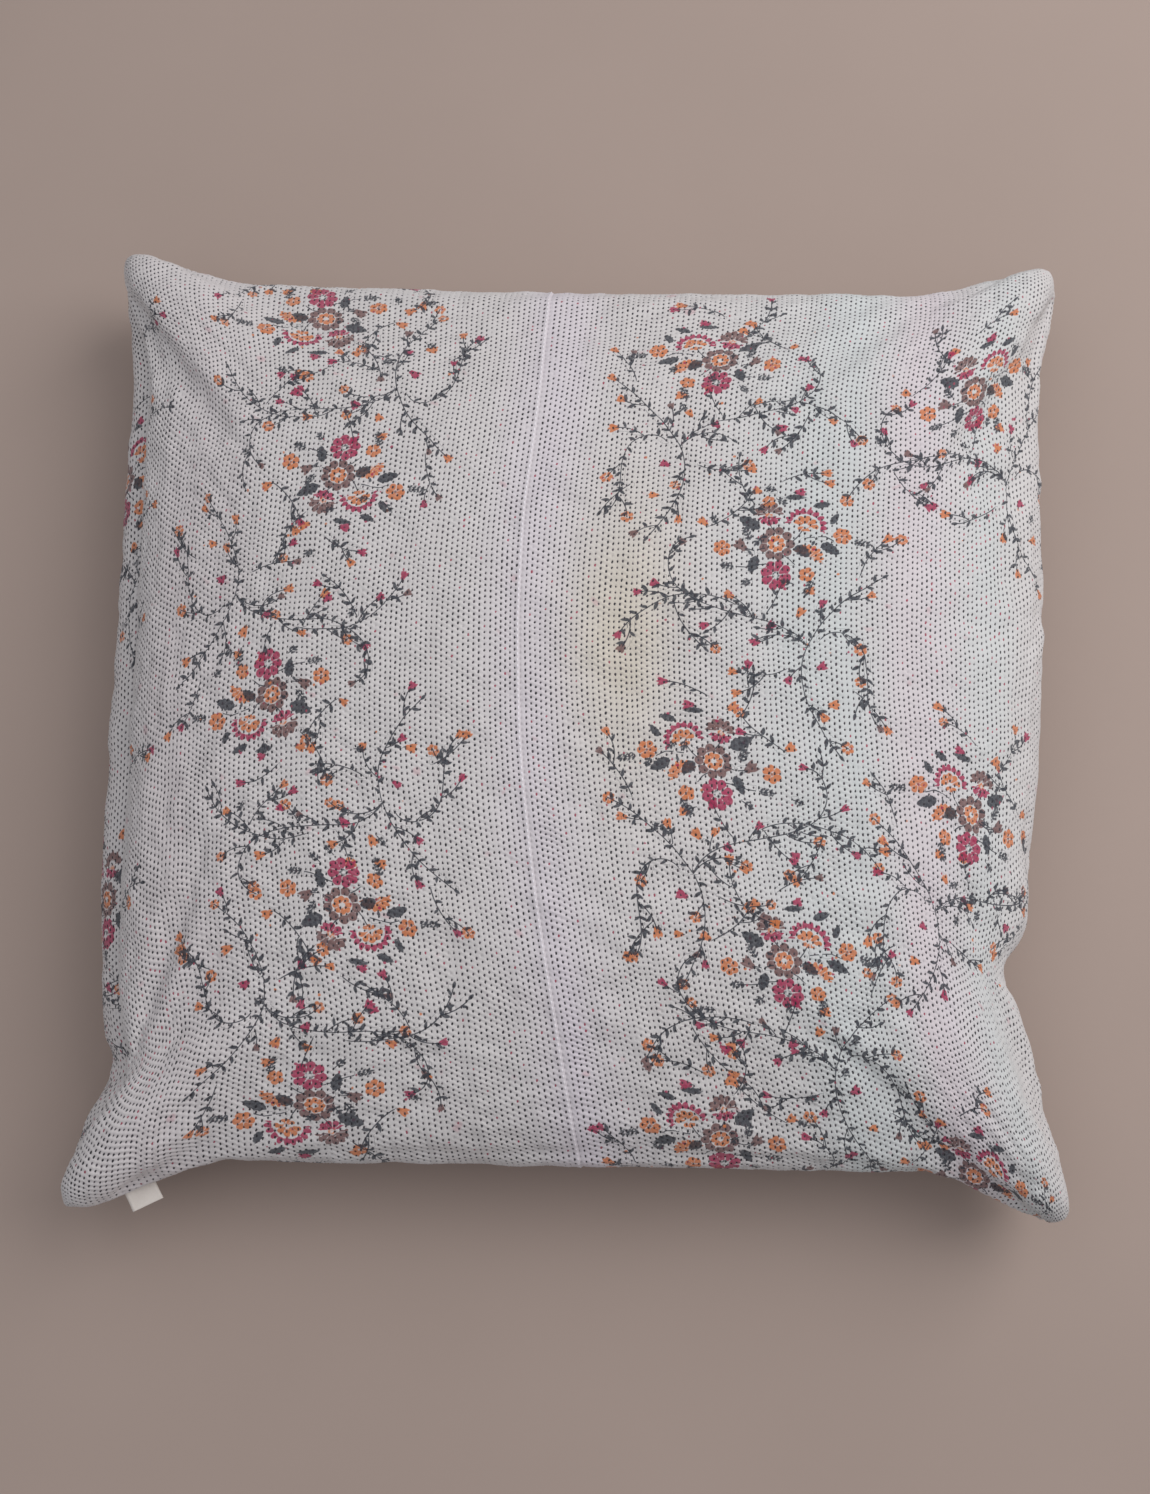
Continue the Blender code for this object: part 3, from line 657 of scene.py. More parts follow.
class Pen:
    """Prints motifs in a frame of their own: moved, turned and perhaps mirrored."""

    def __init__(self, cloth, x, y, turn=0.0, flip=1):
        self.cloth, self.x, self.y, self.turn, self.flip = cloth, x, y, turn, flip

    def place(self, x, y):
        cosine, sine = math.cos(self.turn), math.sin(self.turn)
        x = x * self.flip
        return self.x + x * cosine - y * sine, self.y + x * sine + y * cosine

    def stamp(self, ink, x, y, heading, reach, inside):
        """heading is in degrees, 0 up the frame and growing to its left."""
        turn = self.turn + math.radians(heading) * self.flip
        self.cloth.stamp(ink, *self.place(x, y), turn, reach, inside)

    def line(self, points):
        self.cloth.stroke([self.place(*point) for point in points])

    def leaf(self, x, y, heading, length=6.5, width=2.7, ink="slate"):
        self.stamp(ink, x, y, heading, length + 1.5, leaf(length, width))

    def big_leaf(self, x, y, heading, length=14.0, width=8.5):
        self.stamp("slate", x, y, heading, length + 1.5, leaf(length, width, serrated=True))

    def sprig(self, x, y, heading, pairs=3, length=5.0):
        """A short stalk with pairs of narrow leaves."""
        way = math.radians(heading)
        dx, dy = -math.sin(way), math.cos(way)
        end = 3.4 * pairs
        self.line([(x, y), (x + dx * end, y + dy * end)])
        for k in range(1, pairs + 1):
            px, py = x + dx * 3.4 * (k - 0.4), y + dy * 3.4 * (k - 0.4)
            self.leaf(px, py, heading + 48, length, 2.0)
            self.leaf(px, py, heading - 48, length, 2.0)
        self.leaf(x + dx * end, y + dy * end, heading, length * 0.9, 2.0)

    def tulip(self, x, y, heading, ink="crimson", size=6.5):
        for lean in (-27, 0, 27):
            self.stamp(ink, x, y, heading + lean, size + 2, leaf(size, size * 0.42))
        self.stamp(ink, x, y, heading, size, disc(size * 0.27))
        self.leaf(x, y, heading + 180, size * 0.45, 1.6)

    def puff(self, x, y, heading, ink="orange", size=5.4):
        """A ragged little round flower with a notched rim."""
        self.stamp(ink, x, y, heading, size + 1.5, petals(6, size, 0.9, 0.7))
        self.stamp("brown", x, y, heading, 3, disc(size * 0.16))

    def daisy(self, x, y, heading, ink="crimson", size=11.0, count=8):
        self.stamp(ink, x, y, heading, size + 1.5, petals(count, size, size * 0.26, 0.8))
        self.stamp("slate", x, y, heading, size / 2, petals(count, size * 0.27, size * 0.1, 0.9))

    def fan(self, x, y, heading, ink="crimson", size=17.0, count=10, spread_out=1.75):
        """A half flower: a fringe of small petals round an inner fan of orange ones."""
        rim = petals(count, size, size * 0.66, 0.6, spread_out)
        self.stamp(ink, x, y, heading, size + 1.5, rim)
        self.stamp("orange", x, y, heading, size, petals(5, size * 0.58, 2.0, 0.8, spread_out))
        self.stamp("orange", x, y, heading + 180, 6, petals(3, 6.5, 0.6, 0.7, 1.2))


def bouquet(pen):
    """A full bunch: one fringed fan, two daisies, two half flowers, leaves, buds and sprigs."""
    pen.fan(-14, 17, 10)
    pen.stamp("brown", 16, 23, -8, 14, petals(6, 12.5, 2.6, 0.6, 1.6))
    pen.stamp("crimson", 16, 23, 172, 12, petals(4, 10.5, 2.4, 0.6, 1.3))
    pen.puff(16, 22, 0, size=3.4)
    pen.stamp("brown", 7, -2, 5, 17, petals(9, 15.0, 8.0, 0.7))
    pen.stamp("orange", 7, -2, 5, 10, petals(8, 7.6, 2.2, 0.5))
    pen.daisy(5, -29, 10, size=13.0)
    pen.stamp("orange", -18, -13, 22, 15, petals(8, 13.5, 2.4, 0.6, 1.45))
    pen.stamp("orange", -19, -27, 10, 9, petals(5, 6.6, 0.8, 0.6))
    pen.big_leaf(22, 9, -62, 21, 13)
    pen.big_leaf(-27, 2, 112, 19, 11)
    pen.big_leaf(-8, -2, 128, 15, 11)
    pen.big_leaf(22, -14, 195, 17, 10)
    pen.big_leaf(-18, 36, 68, 15, 7)
    pen.big_leaf(-33, 22, 30, 13, 7)
    pen.big_leaf(5, 41, 82, 18, 6)
    pen.puff(-44, 12, 30, size=8.0)
    pen.puff(51, -12, -60, size=7.6)
    pen.tulip(33, -9, -55, "brown", 10.0)
    pen.sprig(-52, 8, 95, 4)
    pen.sprig(-24, -30, 196, 4)
    pen.sprig(28, -3, -30, 3)
    pen.sprig(24, -35, 232, 2)
    pen.sprig(38, -26, -96, 3)
    pen.line([(-38, 6), (-30, 9), (-24, 8), (-12, 5)])
    pen.line([(-12, 12), (-9, 6), (-6, 2)])
    pen.line([(16, 18), (13, 12), (10, 9)])
    pen.line([(12, -20), (22, -22), (30, -25), (38, -26)])
    pen.line([(14, -6), (24, -10), (32, -9)])
    pen.line([(-8, -18), (-4, -14), (0, -12)])
    for x, y in ((-22, 4), (20, 2), (26, -14)):
        pen.leaf(x, y, 40 * x, 5.5, 2.6)
    for x, y in ((-22, -4), (-24, 42), (33, 14), (-4, -40)):
        pen.stamp("crimson", x, y, 0, 3, disc(1.4))


def vine(pen, rng, x, y, heading, length, curl=0.0, twist=0.0, branch=True):
    """A thin arching stem with small leaves on both sides, and a flower or bud at its tip."""
    step = 2.0
    path = [(x, y)]
    side = 1 if rng.random() < 0.5 else -1
    next_leaf, next_branch = rng.uniform(5.0, 10.0), rng.uniform(16.0, 28.0)
    for k in range(int(length / step)):
        heading += (curl + twist * k * step) * step
        way = math.radians(heading)
        x, y = x - math.sin(way) * step, y + math.cos(way) * step
        path.append((x, y))
        gone = (k + 1) * step
        if gone > next_leaf and gone < length - 3.0:
            for one in (1, -1) if rng.random() < 0.25 else (side,):
                size = rng.uniform(6.0, 8.6)
                pen.leaf(x, y, heading + one * rng.uniform(35, 65), size, size * 0.38)
            side = -side
            next_leaf = gone + rng.uniform(6.0, 10.0)
        if branch and gone > next_branch and gone < length - 10.0:
            lean = side * rng.uniform(35, 60)
            vine(pen, rng, x, y, heading + lean, rng.uniform(14, 30), -lean / 30.0, branch=False)
            next_branch = gone + rng.uniform(24.0, 36.0)
    pen.line(path)
    kind = rng.choice(5, p=(0.22, 0.24, 0.20, 0.12, 0.22))
    if kind == 0:
        pen.tulip(x, y, heading, "crimson", rng.uniform(6.5, 8.0))
    elif kind == 1:
        pen.tulip(x, y, heading, "orange", rng.uniform(7.0, 8.5))
    elif kind == 2:
        pen.puff(x, y, heading, "orange", rng.uniform(4.6, 5.8))
    elif kind == 3:
        pen.tulip(x, y, heading, "brown", rng.uniform(6.0, 7.5))
    else:
        pen.leaf(x, y, heading, 7.0, 2.8)


def tendrils(pen, seed):
    """The vines that arch from a bunch's foot to the next bunch, with loose flowers and dots."""
    rng = np.random.default_rng(seed)
    vine(pen, rng, -25, -91, 22, 88, 0.5, -0.004)
    vine(pen, rng, -25, -91, -25, 172, -1.8, 0.0275)
    vine(pen, rng, -25, -91, 200, 98, -1.0, 0.008)
    vine(pen, rng, -36, -84, 30, 104, 4.2, -0.062)
    vine(pen, rng, 36, -58, -70, 104, -0.8)
    vine(pen, rng, -24, -90, -38, 46, -2.0)
    vine(pen, rng, 38, -60, 200, 30, 0.9)
    vine(pen, rng, 10, -62, 30, 26, -0.5)
    vine(pen, rng, -66, -128, 120, 34, 0.8)
    vine(pen, rng, 62, 8, 60, 44, -0.8)
    vine(pen, rng, 8, 56, 50, 34, 1.0)
    vine(pen, rng, -62, -24, 10, 40, 0.8)
    vine(pen, rng, 84, -66, 160, 44, -0.7)
    vine(pen, rng, -8, -112, -120, 40, 0.9)
    vine(pen, rng, 30, 34, -50, 46, 1.1)
    loose = [
        (7, -74, 40, "crimson"), (-16, -62, 30, "orange"), (57, -80, -120, "crimson"),
        (-35, -109, 60, "crimson"), (-21, -42, 80, "orange"), (-45, -140, 80, "orange"),
        (66, 9, -60, "orange"), (-4, 47, 80, "crimson"), (26, 44, -70, "orange"),
    ]
    for x, y, heading, ink in loose:
        pen.tulip(x, y, heading, ink, rng.uniform(7.0, 9.0))
    for k in range(6):
        pen.sprig(rng.uniform(-60, 100), rng.uniform(-150, 40), rng.uniform(0, 360), 2, 4.6)
    for k in range(16):
        ink = ("crimson", "orange")[k % 2]
        x, y = rng.uniform(-75, 100), rng.uniform(-150, 50)
        pen.stamp(ink, x, y, 0, 3, disc(rng.uniform(0.8, 1.5)))


# Where each band's bunches lie on the flat cut, in millimetres across and along from its middle.
LEFT_BAND = [(-226, 357), (-191, 184), (-250, -12), (-184, -191), (-229, -359)]
RIGHT_BAND = [(100, 313), (173, 130), (105, -64), (157, -226), (63, -378)]
EDGE_BAND = [(337, 276), (318, -90), (284, -405)]
HIDDEN_BAND = [(-410, 189), (-405, -152), (-405, -400)]


def print_band(cloth, spots, seed, turned=False, first_flip=1):
    """Bunches go down a band on alternate sides, each with the vines that grow from its foot."""
    flip = first_flip
    for k, (x, y) in enumerate(spots):
        pen = Pen(cloth, x, y, math.pi * turned + 0.08 * (-1) ** k, flip)
        tendrils(pen, seed + k)
        bouquet(pen)
        flip = -flip


def lay_print(piece, cloth):
    """Stores a panel's inks on its mesh for the cotton's shader."""
    values = {**cloth.inks, "vine": cloth.vine_side}
    for name, field in values.items():
        attribute = piece.data.attributes.new("ink_" + name, "FLOAT", "POINT")
        attribute.data.foreach_set("value", np.clip(field, -4.0, 4.0).astype(np.float32).ravel())


def lay_flat_places(piece, I, J, side):
    """Stores each point's place in the flat cut, its dimple for painted shade, and a UV map that fills one
    square.
    """
    a, b = 2.0 * I / COLUMNS - 1.0, 2.0 * J / ROWS - 1.0
    flat = np.stack([a * CUT_HALF, b * CUT_HALF, np.full_like(a, side * 0.5)], axis=-1)
    place = piece.data.attributes.new("flat_place", "FLOAT_VECTOR", "POINT")
    place.data.foreach_set("vector", flat.astype(np.float32).ravel())
    stitch_pit_shade = piece.data.attributes.new("stitch_pit_shade", "FLOAT", "POINT")
    stitch_pit_shade.data.foreach_set("value", dimples(I, J)[0].astype(np.float32).ravel())
    u = (I - I.min()) / (I.max() - I.min())
    v = (J - J.min()) / (J.max() - J.min())
    corners = np.zeros(len(piece.data.loops), np.int32)
    piece.data.loops.foreach_get("vertex_index", corners)
    uv = np.stack([u.ravel(), v.ravel()], axis=-1)[corners]
    piece.data.uv_layers.new(name="OFBake").data.foreach_set("uv", uv.astype(np.float32).ravel())


# The cotton: off-white, stained and tinted by years of washing, with painted shade in its stitch dimples,
# and the inks over it.
WEAVE = 0.00075
cotton = Finish("quilted_cotton", Roughness=0.92, Sheen_Weight=0.15, Sheen_Roughness=0.6)
flat_place = cotton.attribute("flat_place", 1)
across_cut, along_cut, _ = cotton.parts(flat_place)
cloudy = cotton.noise(flat_place, 7.0, 3.0, 0.6)
fine = cotton.noise(flat_place, 420.0, 2.0, 0.7)
streaky = cotton.noise(
    cotton.node("Mapping", Vector=flat_place, Scale=(26.0, 3.0, 1.0)), 1.0, 3.0, 0.6
)
ground = cotton.mix(cloudy, colour(199, 194, 193), colour(211, 207, 207))
lilac = (across_cut.hump(-0.030, 0.030) + across_cut.hump(0.285, 0.030) * 0.7) * streaky * 0.9
ground = cotton.mix(lilac, ground, colour(214, 203, 216))
mint = (across_cut.hump(0.205, 0.060) + across_cut.hump(0.345, 0.030) * 0.6) * streaky * 0.9
ground = cotton.mix(mint, ground, colour(194, 207, 208))
pink = (across_cut.hump(0.27, 0.025) + across_cut.hump(-0.33, 0.06) * 0.5) * streaky * 0.7
ground = cotton.mix(pink, ground, colour(216, 198, 204))
tea = across_cut.hump(0.045, 0.040) * along_cut.hump(0.05, 0.11) * cloudy * 0.8
ground = cotton.mix(tea, ground, colour(206, 192, 160))
spots = cotton.noise(flat_place, 60.0, 1.0)
spot_mask = ((spots - 0.715) * 16.0).clipped() * 0.45
ground = cotton.mix(spot_mask, ground, colour(196, 150, 158))
ground = cotton.mix((fine - 0.5).size() * 0.5, ground, colour(170, 166, 166))
# Painted shade: the cotton is darkened in each stitch's dimple, where the thread draws it down.
stitch_pit_shade = ((cotton.attribute("stitch_pit_shade") - 0.25) * 1.3).clipped() * 0.42
ground = cotton.mix(stitch_pit_shade, ground, colour(116, 108, 116))
wear = (cotton.noise(flat_place, 300.0, 2.0, 0.8) * 1.5 - 0.05).clipped() * 0.25 + 0.74
ink_colours = {
    "brown": colour(112, 78, 76),
    "orange": colour(198, 114, 64),
    "crimson": colour(158, 30, 76),
    "slate": colour(46, 50, 60),
}
for ink, tint in ink_colours.items():
    inked = ((cotton.attribute("ink_" + ink) + 0.25) * 2.0).clipped()
    ground = cotton.mix(inked * wear, ground, tint)
vine_line = ((0.60 - cotton.attribute("ink_vine").size()) * 4.0).clipped()
ground = cotton.mix(vine_line * wear, ground, ink_colours["slate"])
weave_x, weave_y = ((way * (2.0 * math.pi / WEAVE)).wave() for way in (across_cut, along_cut))
cotton.feed(Base_Color=ground)
cotton.relief(weave_x * weave_y * 0.25 + fine * 0.8 + 0.1, 0.0003, 0.6)


def dress(piece, finish, node=None):
    """Gives a piece of the cushion its material, puts it on the cushion's body, and hides the imported
    node it stands for.
    """
    piece.data.materials.append(finish.material)
    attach(piece, "cushion")
    if node:
        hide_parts(node)


def dress_cover(piece, node):
    dress(piece, cotton, node)


# ---- running stitches: dark thread, each stitch a short bar in its own dimple ----------------
# Hand-quilting in charcoal cotton thread, with a few stitches in faded red, more of them in
# some patches. They lie a little slanted, as hand stitches do.

STITCH_LENGTH = 0.0028
STITCH_WIDTH = 0.0015
STITCH_HEIGHT = 0.0004


def bars(name, centre, along, up, length, width, height):
    """Small rounded bars of thread, all in one mesh: six points round each, two on top."""
    across = np.cross(along, up)
    outline = [(-0.5, 0.0), (-0.28, 0.5), (0.28, 0.5), (0.5, 0.0), (0.28, -0.5), (-0.28, -0.5)]
    rings = [centre + along * (length * u) + across * (width * v) for u, v in outline]
    rings += [centre + along * (length * u) + up * height for u in (-0.24, 0.24)]
    points = np.stack(rings, axis=1).reshape(-1, 3)
    shape = [(0, 1, 6), (1, 7, 6), (1, 2, 7), (2, 3, 7), (3, 4, 7), (4, 6, 7), (4, 5, 6), (5, 0, 6)]
    faces = (np.arange(len(centre))[:, None, None] * 8 + np.array(shape)[None]).reshape(-1, 3)
    return mesh_piece(name, points, faces[:, ::-1])


thread = Finish("charcoal_thread", Roughness=0.75)
thread_tone = thread.attribute("tone")
thread_colour = thread.mix(thread_tone, colour(28, 26, 34), colour(74, 65, 73))
thread_colour = thread.mix(((thread_tone - 1.5) * 4.0).clipped(), thread_colour, colour(150, 66, 84))
thread_twist = (thread.noise(thread.place(), 2600.0, 1.0) - 0.5) * 0.5
thread.feed(Base_Color=thread.mix(thread_twist.clipped(), thread_colour, colour(150, 140, 145)))


def on_lattice(points, I, J, column, row):
    """Reads a panel's finished lattice at places counted in stitches."""
    fx = (column - I[0, 0]) / (I[0, 1] - I[0, 0])
    fy = (row - J[0, 0]) / (J[1, 0] - J[0, 0])
    ix, iy = np.floor(fx).astype(int), np.floor(fy).astype(int)
    wx, wy = (fx - ix)[:, None], (fy - iy)[:, None]
    near = points[iy, ix] * (1.0 - wx) + points[iy, ix + 1] * wx
    far = points[iy + 1, ix] * (1.0 - wx) + points[iy + 1, ix + 1] * wx
    return near * (1.0 - wy) + far * wy


def running_stitches(name, panel, first, last, side, seed):
    """One stitch at each place in the rows between two columns, laid on the quilted cloth."""
    points, I, J = panel
    rng = np.random.default_rng(seed)
    column, row = np.meshgrid(np.arange(first, last), np.arange(1, ROWS))
    column, row = column.ravel().astype(float), row.ravel().astype(float)
    row = row - stagger[column.astype(int)] % 1.0
    keep = (row > 0.8) & (row < ROWS - 0.8) & (rng.random(len(row)) > 0.006)
    column, row = column[keep], row[keep]
    reach = STITCH_LENGTH * rng.uniform(0.75, 1.15, len(row)) / PITCH_Y / 2.0
    lean = rng.normal(0.05, 0.05, len(row))
    tail = on_lattice(points, I, J, column - lean, row - reach)
    head = on_lattice(points, I, J, column + lean, row + reach)
    middle = on_lattice(points, I, J, column, row)
    up = facing(column, row, side)
    sunk = np.maximum(((tail + head) / 2 - middle) * up, 0.0).sum(axis=1, keepdims=True)
    centre = middle + up * (0.7 * sunk)
    length = np.linalg.norm(head - tail, axis=1, keepdims=True)
    width = STITCH_WIDTH * rng.uniform(0.8, 1.15, len(row))[:, None]
    piece = bars(name, centre, unit(head - tail), up, length, width, STITCH_HEIGHT)
    patches = ripple(31, (9, 5), 2 * column / COLUMNS - 1, 2 * row / ROWS - 1)
    faded = rng.random(len(row)) < 0.03 + 0.12 * (patches > 1.0)
    tone = np.where(faded, 2.0, rng.uniform(0.0, 1.0, len(row)) ** 2)
    attribute = piece.data.attributes.new("tone", "FLOAT", "POINT")
    attribute.data.foreach_set("value", np.repeat(tone, 8).astype(np.float32))
    dress(piece, thread)


# ---- front of the cover: two panels, lapped at the centre join -------------------------------
# The left panel's edge lies folded on the right panel, which runs on beneath it. A row of white
# thread holds the two together.


def panel_piece(name, panel, side):
    points, I, J = panel
    faces = lattice_faces(np.arange(I.size).reshape(I.shape))[:, ::side]
    piece = mesh_piece(name, points.reshape(-1, 3), faces)
    lay_flat_places(piece, I, J, side)
    return piece


left_panel = quilted(0, JOIN_COLUMN, 1, 3, 4, "left")
cover_left = panel_piece("cover_front_left", left_panel, 1)
left_print = Print(*left_panel[1:])
print_band(left_print, LEFT_BAND, 100, turned=True, first_flip=-1)
edge_chance = np.random.default_rng(5)
for height in (300, 215, 130, 40, -70, -175):
    edge_pen = Pen(left_print, -425, height)
    vine(edge_pen, edge_chance, 0, 0, -35, edge_chance.uniform(40, 70), -0.9)
lay_print(cover_left, left_print)
dress_cover(cover_left, "front_panel_left")
running_stitches("quilting_front_left", left_panel, 1, JOIN_COLUMN - HEM_COLUMNS + 1, 1, 41)

right_panel = quilted(JOIN_COLUMN - 2, COLUMNS, 1, 3, 4, "right")
cover_right = panel_piece("cover_front_right", right_panel, 1)
right_print = Print(*right_panel[1:])
print_band(right_print, RIGHT_BAND, 200)
print_band(right_print, EDGE_BAND, 210, first_flip=-1)
lay_print(cover_right, right_print)
dress_cover(cover_right, "front_panel_right")
running_stitches("quilting_front_right", right_panel, JOIN_COLUMN + 1, COLUMNS, 1, 42)

# White thread holds the join down, in one row near the fold. A stitch's size is its length,
# width and height.
JOIN_STITCH = (0.0029, 0.0010, 0.0005)
JOIN_LIFT = 0.0003
white = Finish("white_thread", Roughness=0.7)
white_fuzz = white.noise(white.place(), 1800.0, 2.0)
white.feed(Base_Color=white.mix(white_fuzz, colour(222, 216, 224), colour(240, 236, 240)))
join_rows = np.arange(2, ROWS - 1) + 0.0
join_columns = 0.0 * join_rows + JOIN_COLUMN - 0.45
join_tail = on_lattice(*left_panel, join_columns, join_rows - 0.28)
join_head = on_lattice(*left_panel, join_columns, join_rows + 0.28)
join_up = facing(join_columns, join_rows, 1)
join_middle = (join_tail + join_head) / 2 + join_up * JOIN_LIFT
join_way = unit(join_head - join_tail)
join_stitches = bars("centre_join_stitches", join_middle, join_way, join_up, *JOIN_STITCH)
dress(join_stitches, white, "centre_join_thread")


# ---- back of the cover -------------------------------------------------------------------------
# One panel, quilted and printed like the front. It shows as the lower half of each side, and
# as a roll along the left edge.

back_panel = quilted(0, COLUMNS, -1, 2, 2)
cover_back = panel_piece("cover_back", back_panel, -1)
back_print = Print(*back_panel[1:])
print_band(back_print, HIDDEN_BAND, 300)
print_band(back_print, LEFT_BAND, 310, turned=True)
print_band(back_print, RIGHT_BAND, 320)
lay_print(cover_back, back_print)
dress_cover(cover_back, "back_panel")
half = COLUMNS // 2
running_stitches("quilting_back_left", back_panel, 1, half, -1, 43)
running_stitches("quilting_back_right", back_panel, half, COLUMNS, -1, 44)


# ---- edge seam: cream thread that whips the two cuts together round the rim ------------------
# Small upright stitches close together, left out along the zip, where each cut is sewn to a
# tape of its own.

SEAM_STEP = 0.0042
SEAM_STITCH = (0.0030, 0.0008, 0.0006)
ZIP_END_GAP = 0.012


def along_rim(rim, step):
    """Evenly stepped places along a closed run of points, and the outward way at each."""
    legs = np.linalg.norm(np.diff(rim, axis=0), axis=1)
    gone = np.concatenate([[0.0], np.cumsum(legs)])
    places = np.arange(step / 2, gone[-1], step)
    centre = np.stack([np.interp(places, gone, rim[:, k]) for k in range(3)], axis=-1)
    ahead = np.stack([np.interp(places + step, gone, rim[:, k]) for k in range(3)], axis=-1)
    out = np.cross(unit(ahead - centre), (0.0, 0.0, 1.0))
    return centre, unit(out)


def rim_of(grid):
    """The rim of a cut, anticlockwise seen from above, closed on itself."""
    sides = [grid[0, :-1], grid[:-1, -1], grid[-1, :0:-1], grid[:0:-1, 0], grid[:1, 0]]
    return np.concatenate(sides)


def seam_bars(name, rim, size, keep=None):
    """Upright stitches round a rim, or round the part of it that keep chooses."""
    centre, out = along_rim(rim, SEAM_STEP)
    if keep:
        chosen = keep(centre)
        centre, out = centre[chosen], out[chosen]
    upright = np.zeros_like(centre) + (0.12, 0.0, 1.0)
    along = unit(upright - out * (upright * out).sum(axis=1, keepdims=True))
    return bars(name, centre, along, out, *size)


cream = Finish("cream_thread", Roughness=0.7)
cream_fuzz = cream.noise(cream.place(), 1800.0, 2.0)
cream.feed(Base_Color=cream.mix(cream_fuzz, colour(196, 190, 180), colour(216, 211, 202)))


def off_the_zip(centre):
    return (centre[:, 1] > 0.0) | (np.abs(centre[:, 0]) > ZIP_HALF + ZIP_END_GAP)


rim_line = rim_of(bag[1]).copy()
rim_line[:, 0] -= np.sign(rim_line[:, 0]) * (SEAM_TUCK - 0.0004) * (np.abs(rim_of(A)) > 0.99)
rim_line[:, 1] -= np.sign(rim_line[:, 1]) * (SEAM_TUCK - 0.0004) * (np.abs(rim_of(B)) > 0.99)
edge_seam = seam_bars("edge_seam_stitches", rim_line, SEAM_STITCH, off_the_zip)
dress(edge_seam, cream, "edge_seam_thread")


# ---- side label: a folded loop of cream woven tape, caught in the seam near the near-left ear --
# The tape is plain, with its two layers lying together and the fold outwards.

LABEL_TAPE = 0.0004
LABEL_WIDTH = 0.026
LABEL_LENGTH = 0.021
LABEL_CAUGHT = 0.004
LABEL_HALF_GAP = 0.0005
label_middle = (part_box("side_label")[0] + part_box("side_label")[1]) / 2
label_spot = np.argmin(np.abs(bag[1][0, :, 0] - label_middle.x))
label_seat = bag[1][0, label_spot]
label_run = unit(bag[1][0, label_spot + 2] - bag[1][0, label_spot - 2])


def thicken(piece, thickness):
    """Gives a strip of tape its body, half of it on each side of the mesh."""
    body = piece.modifiers.new("tape_thickness", "SOLIDIFY")
    body.thickness = thickness
    body.offset = 0.0


def folded_path(length, half_gap):
    """Out along the top of the fold, round its end and back below, as (out, up) pairs."""
    turn = np.linspace(math.pi / 2, -math.pi / 2, 9)
    fold = [(length + half_gap * math.cos(t), half_gap * math.sin(t)) for t in turn]
    shares = np.linspace(0.0, 1.0, 9)[:-1]
    top = [(length * u, half_gap) for u in shares]
    below = [(length * u, -half_gap) for u in shares[::-1]]
    return np.array(top + fold + below)


path = folded_path(LABEL_LENGTH, LABEL_HALF_GAP)
label_out = unit(np.array([label_run[1], -label_run[0], 0.0]))
label_side = np.array([-label_out[1], label_out[0], 0.0])
label_root = label_seat - label_out * LABEL_CAUGHT
label_rows = []
for w in np.linspace(-0.5, 0.5, 14) * LABEL_WIDTH:
    droop = 5.0 * path[:, 0] ** 2 + 0.0006 * np.sin(path[:, 0] * 260.0 + w * 160.0)
    spot = label_root + label_side * w + label_out * path[:, :1]
    spot[:, 2] += path[:, 1] - droop
    label_rows.append(spot)
label_points = np.array(label_rows)
label_number = np.arange(label_points.shape[0] * label_points.shape[1])
label_faces = lattice_faces(label_number.reshape(label_points.shape[:2]))
label = mesh_piece("side_label_tape", label_points.reshape(-1, 3), label_faces)
thicken(label, LABEL_TAPE)

woven_label = Finish("woven_label", Roughness=0.6)
label_place = woven_label.place()
label_y = woven_label.parts(label_place)[1]
ribs = (label_y * (2.0 * math.pi / 0.0007)).wave() * 0.5 + 0.5
woven_label.feed(
    Base_Color=woven_label.mix(
        woven_label.noise(label_place, 500.0) * 0.5 + ribs * 0.3,
        colour(214, 204, 196),
        colour(232, 225, 218),
    )
)
woven_label.relief(ribs, 0.0002, 0.5)
dress(label, woven_label, "side_label")


# ---- zip: woven tapes, nylon coils sewn to them, and a metal slider with its pull tab --------
# Each tape is sewn behind the turned edge of its cut. The coils are turned from one nylon
# monofilament each, and lie side by side in line with the seam.

tape_twill = Finish("zip_tape_twill", Roughness=0.8)
tape_place = tape_twill.place()
tape_x, _, tape_z = tape_twill.parts(tape_place)
twill = ((tape_x + tape_z) * (2.0 * math.pi / 0.0009)).wave() * 0.5 + 0.5
tape_twill.feed(
    Base_Color=tape_twill.mix(
        twill * 0.6 + tape_twill.noise(tape_place, 300.0) * 0.4,
        colour(176, 170, 164),
        colour(206, 200, 194),
    )
)
tape_twill.relief(twill, 0.0002, 0.6)
nylon = Finish("zip_nylon", Roughness=0.35)
nylon_place = nylon.place()
nylon.feed(
    Base_Color=nylon.mix(nylon.noise(nylon_place, 900.0), colour(196, 192, 186), colour(218, 214, 208)),
    Roughness=nylon.noise(nylon_place, 400.0) * 0.2 + 0.28,
)
TAPE_CELLS = (208, 6)
TAPE_THICKNESS = 0.00035
COIL_PITCH = 0.00125
COIL_WIRE = 0.00028
ZIP_STITCH = (0.0022, 0.0006, 0.0006)
ZIP_STITCH_STEP = 0.0030


def zip_tape(word):
    """A woven strip with a thin body, a little wavy as sewn tape is."""
    low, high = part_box("zip_tape_" + word)
    across, up = np.meshgrid(
        np.linspace(low.x, high.x, TAPE_CELLS[0] + 1), np.linspace(low.z, high.z, TAPE_CELLS[1] + 1)
    )
    wave = 0.00012 * np.sin(across * 900.0 + up * 300.0)
    points = np.stack([across, 0.0 * across + (low.y + high.y) / 2 + wave, up], axis=-1)
    faces = lattice_faces(np.arange(across.size).reshape(across.shape))
    piece = mesh_piece("zip_tape_" + word + "_twill", points.reshape(-1, 3), faces)
    thicken(piece, TAPE_THICKNESS)
    dress(piece, tape_twill, "zip_tape_" + word)


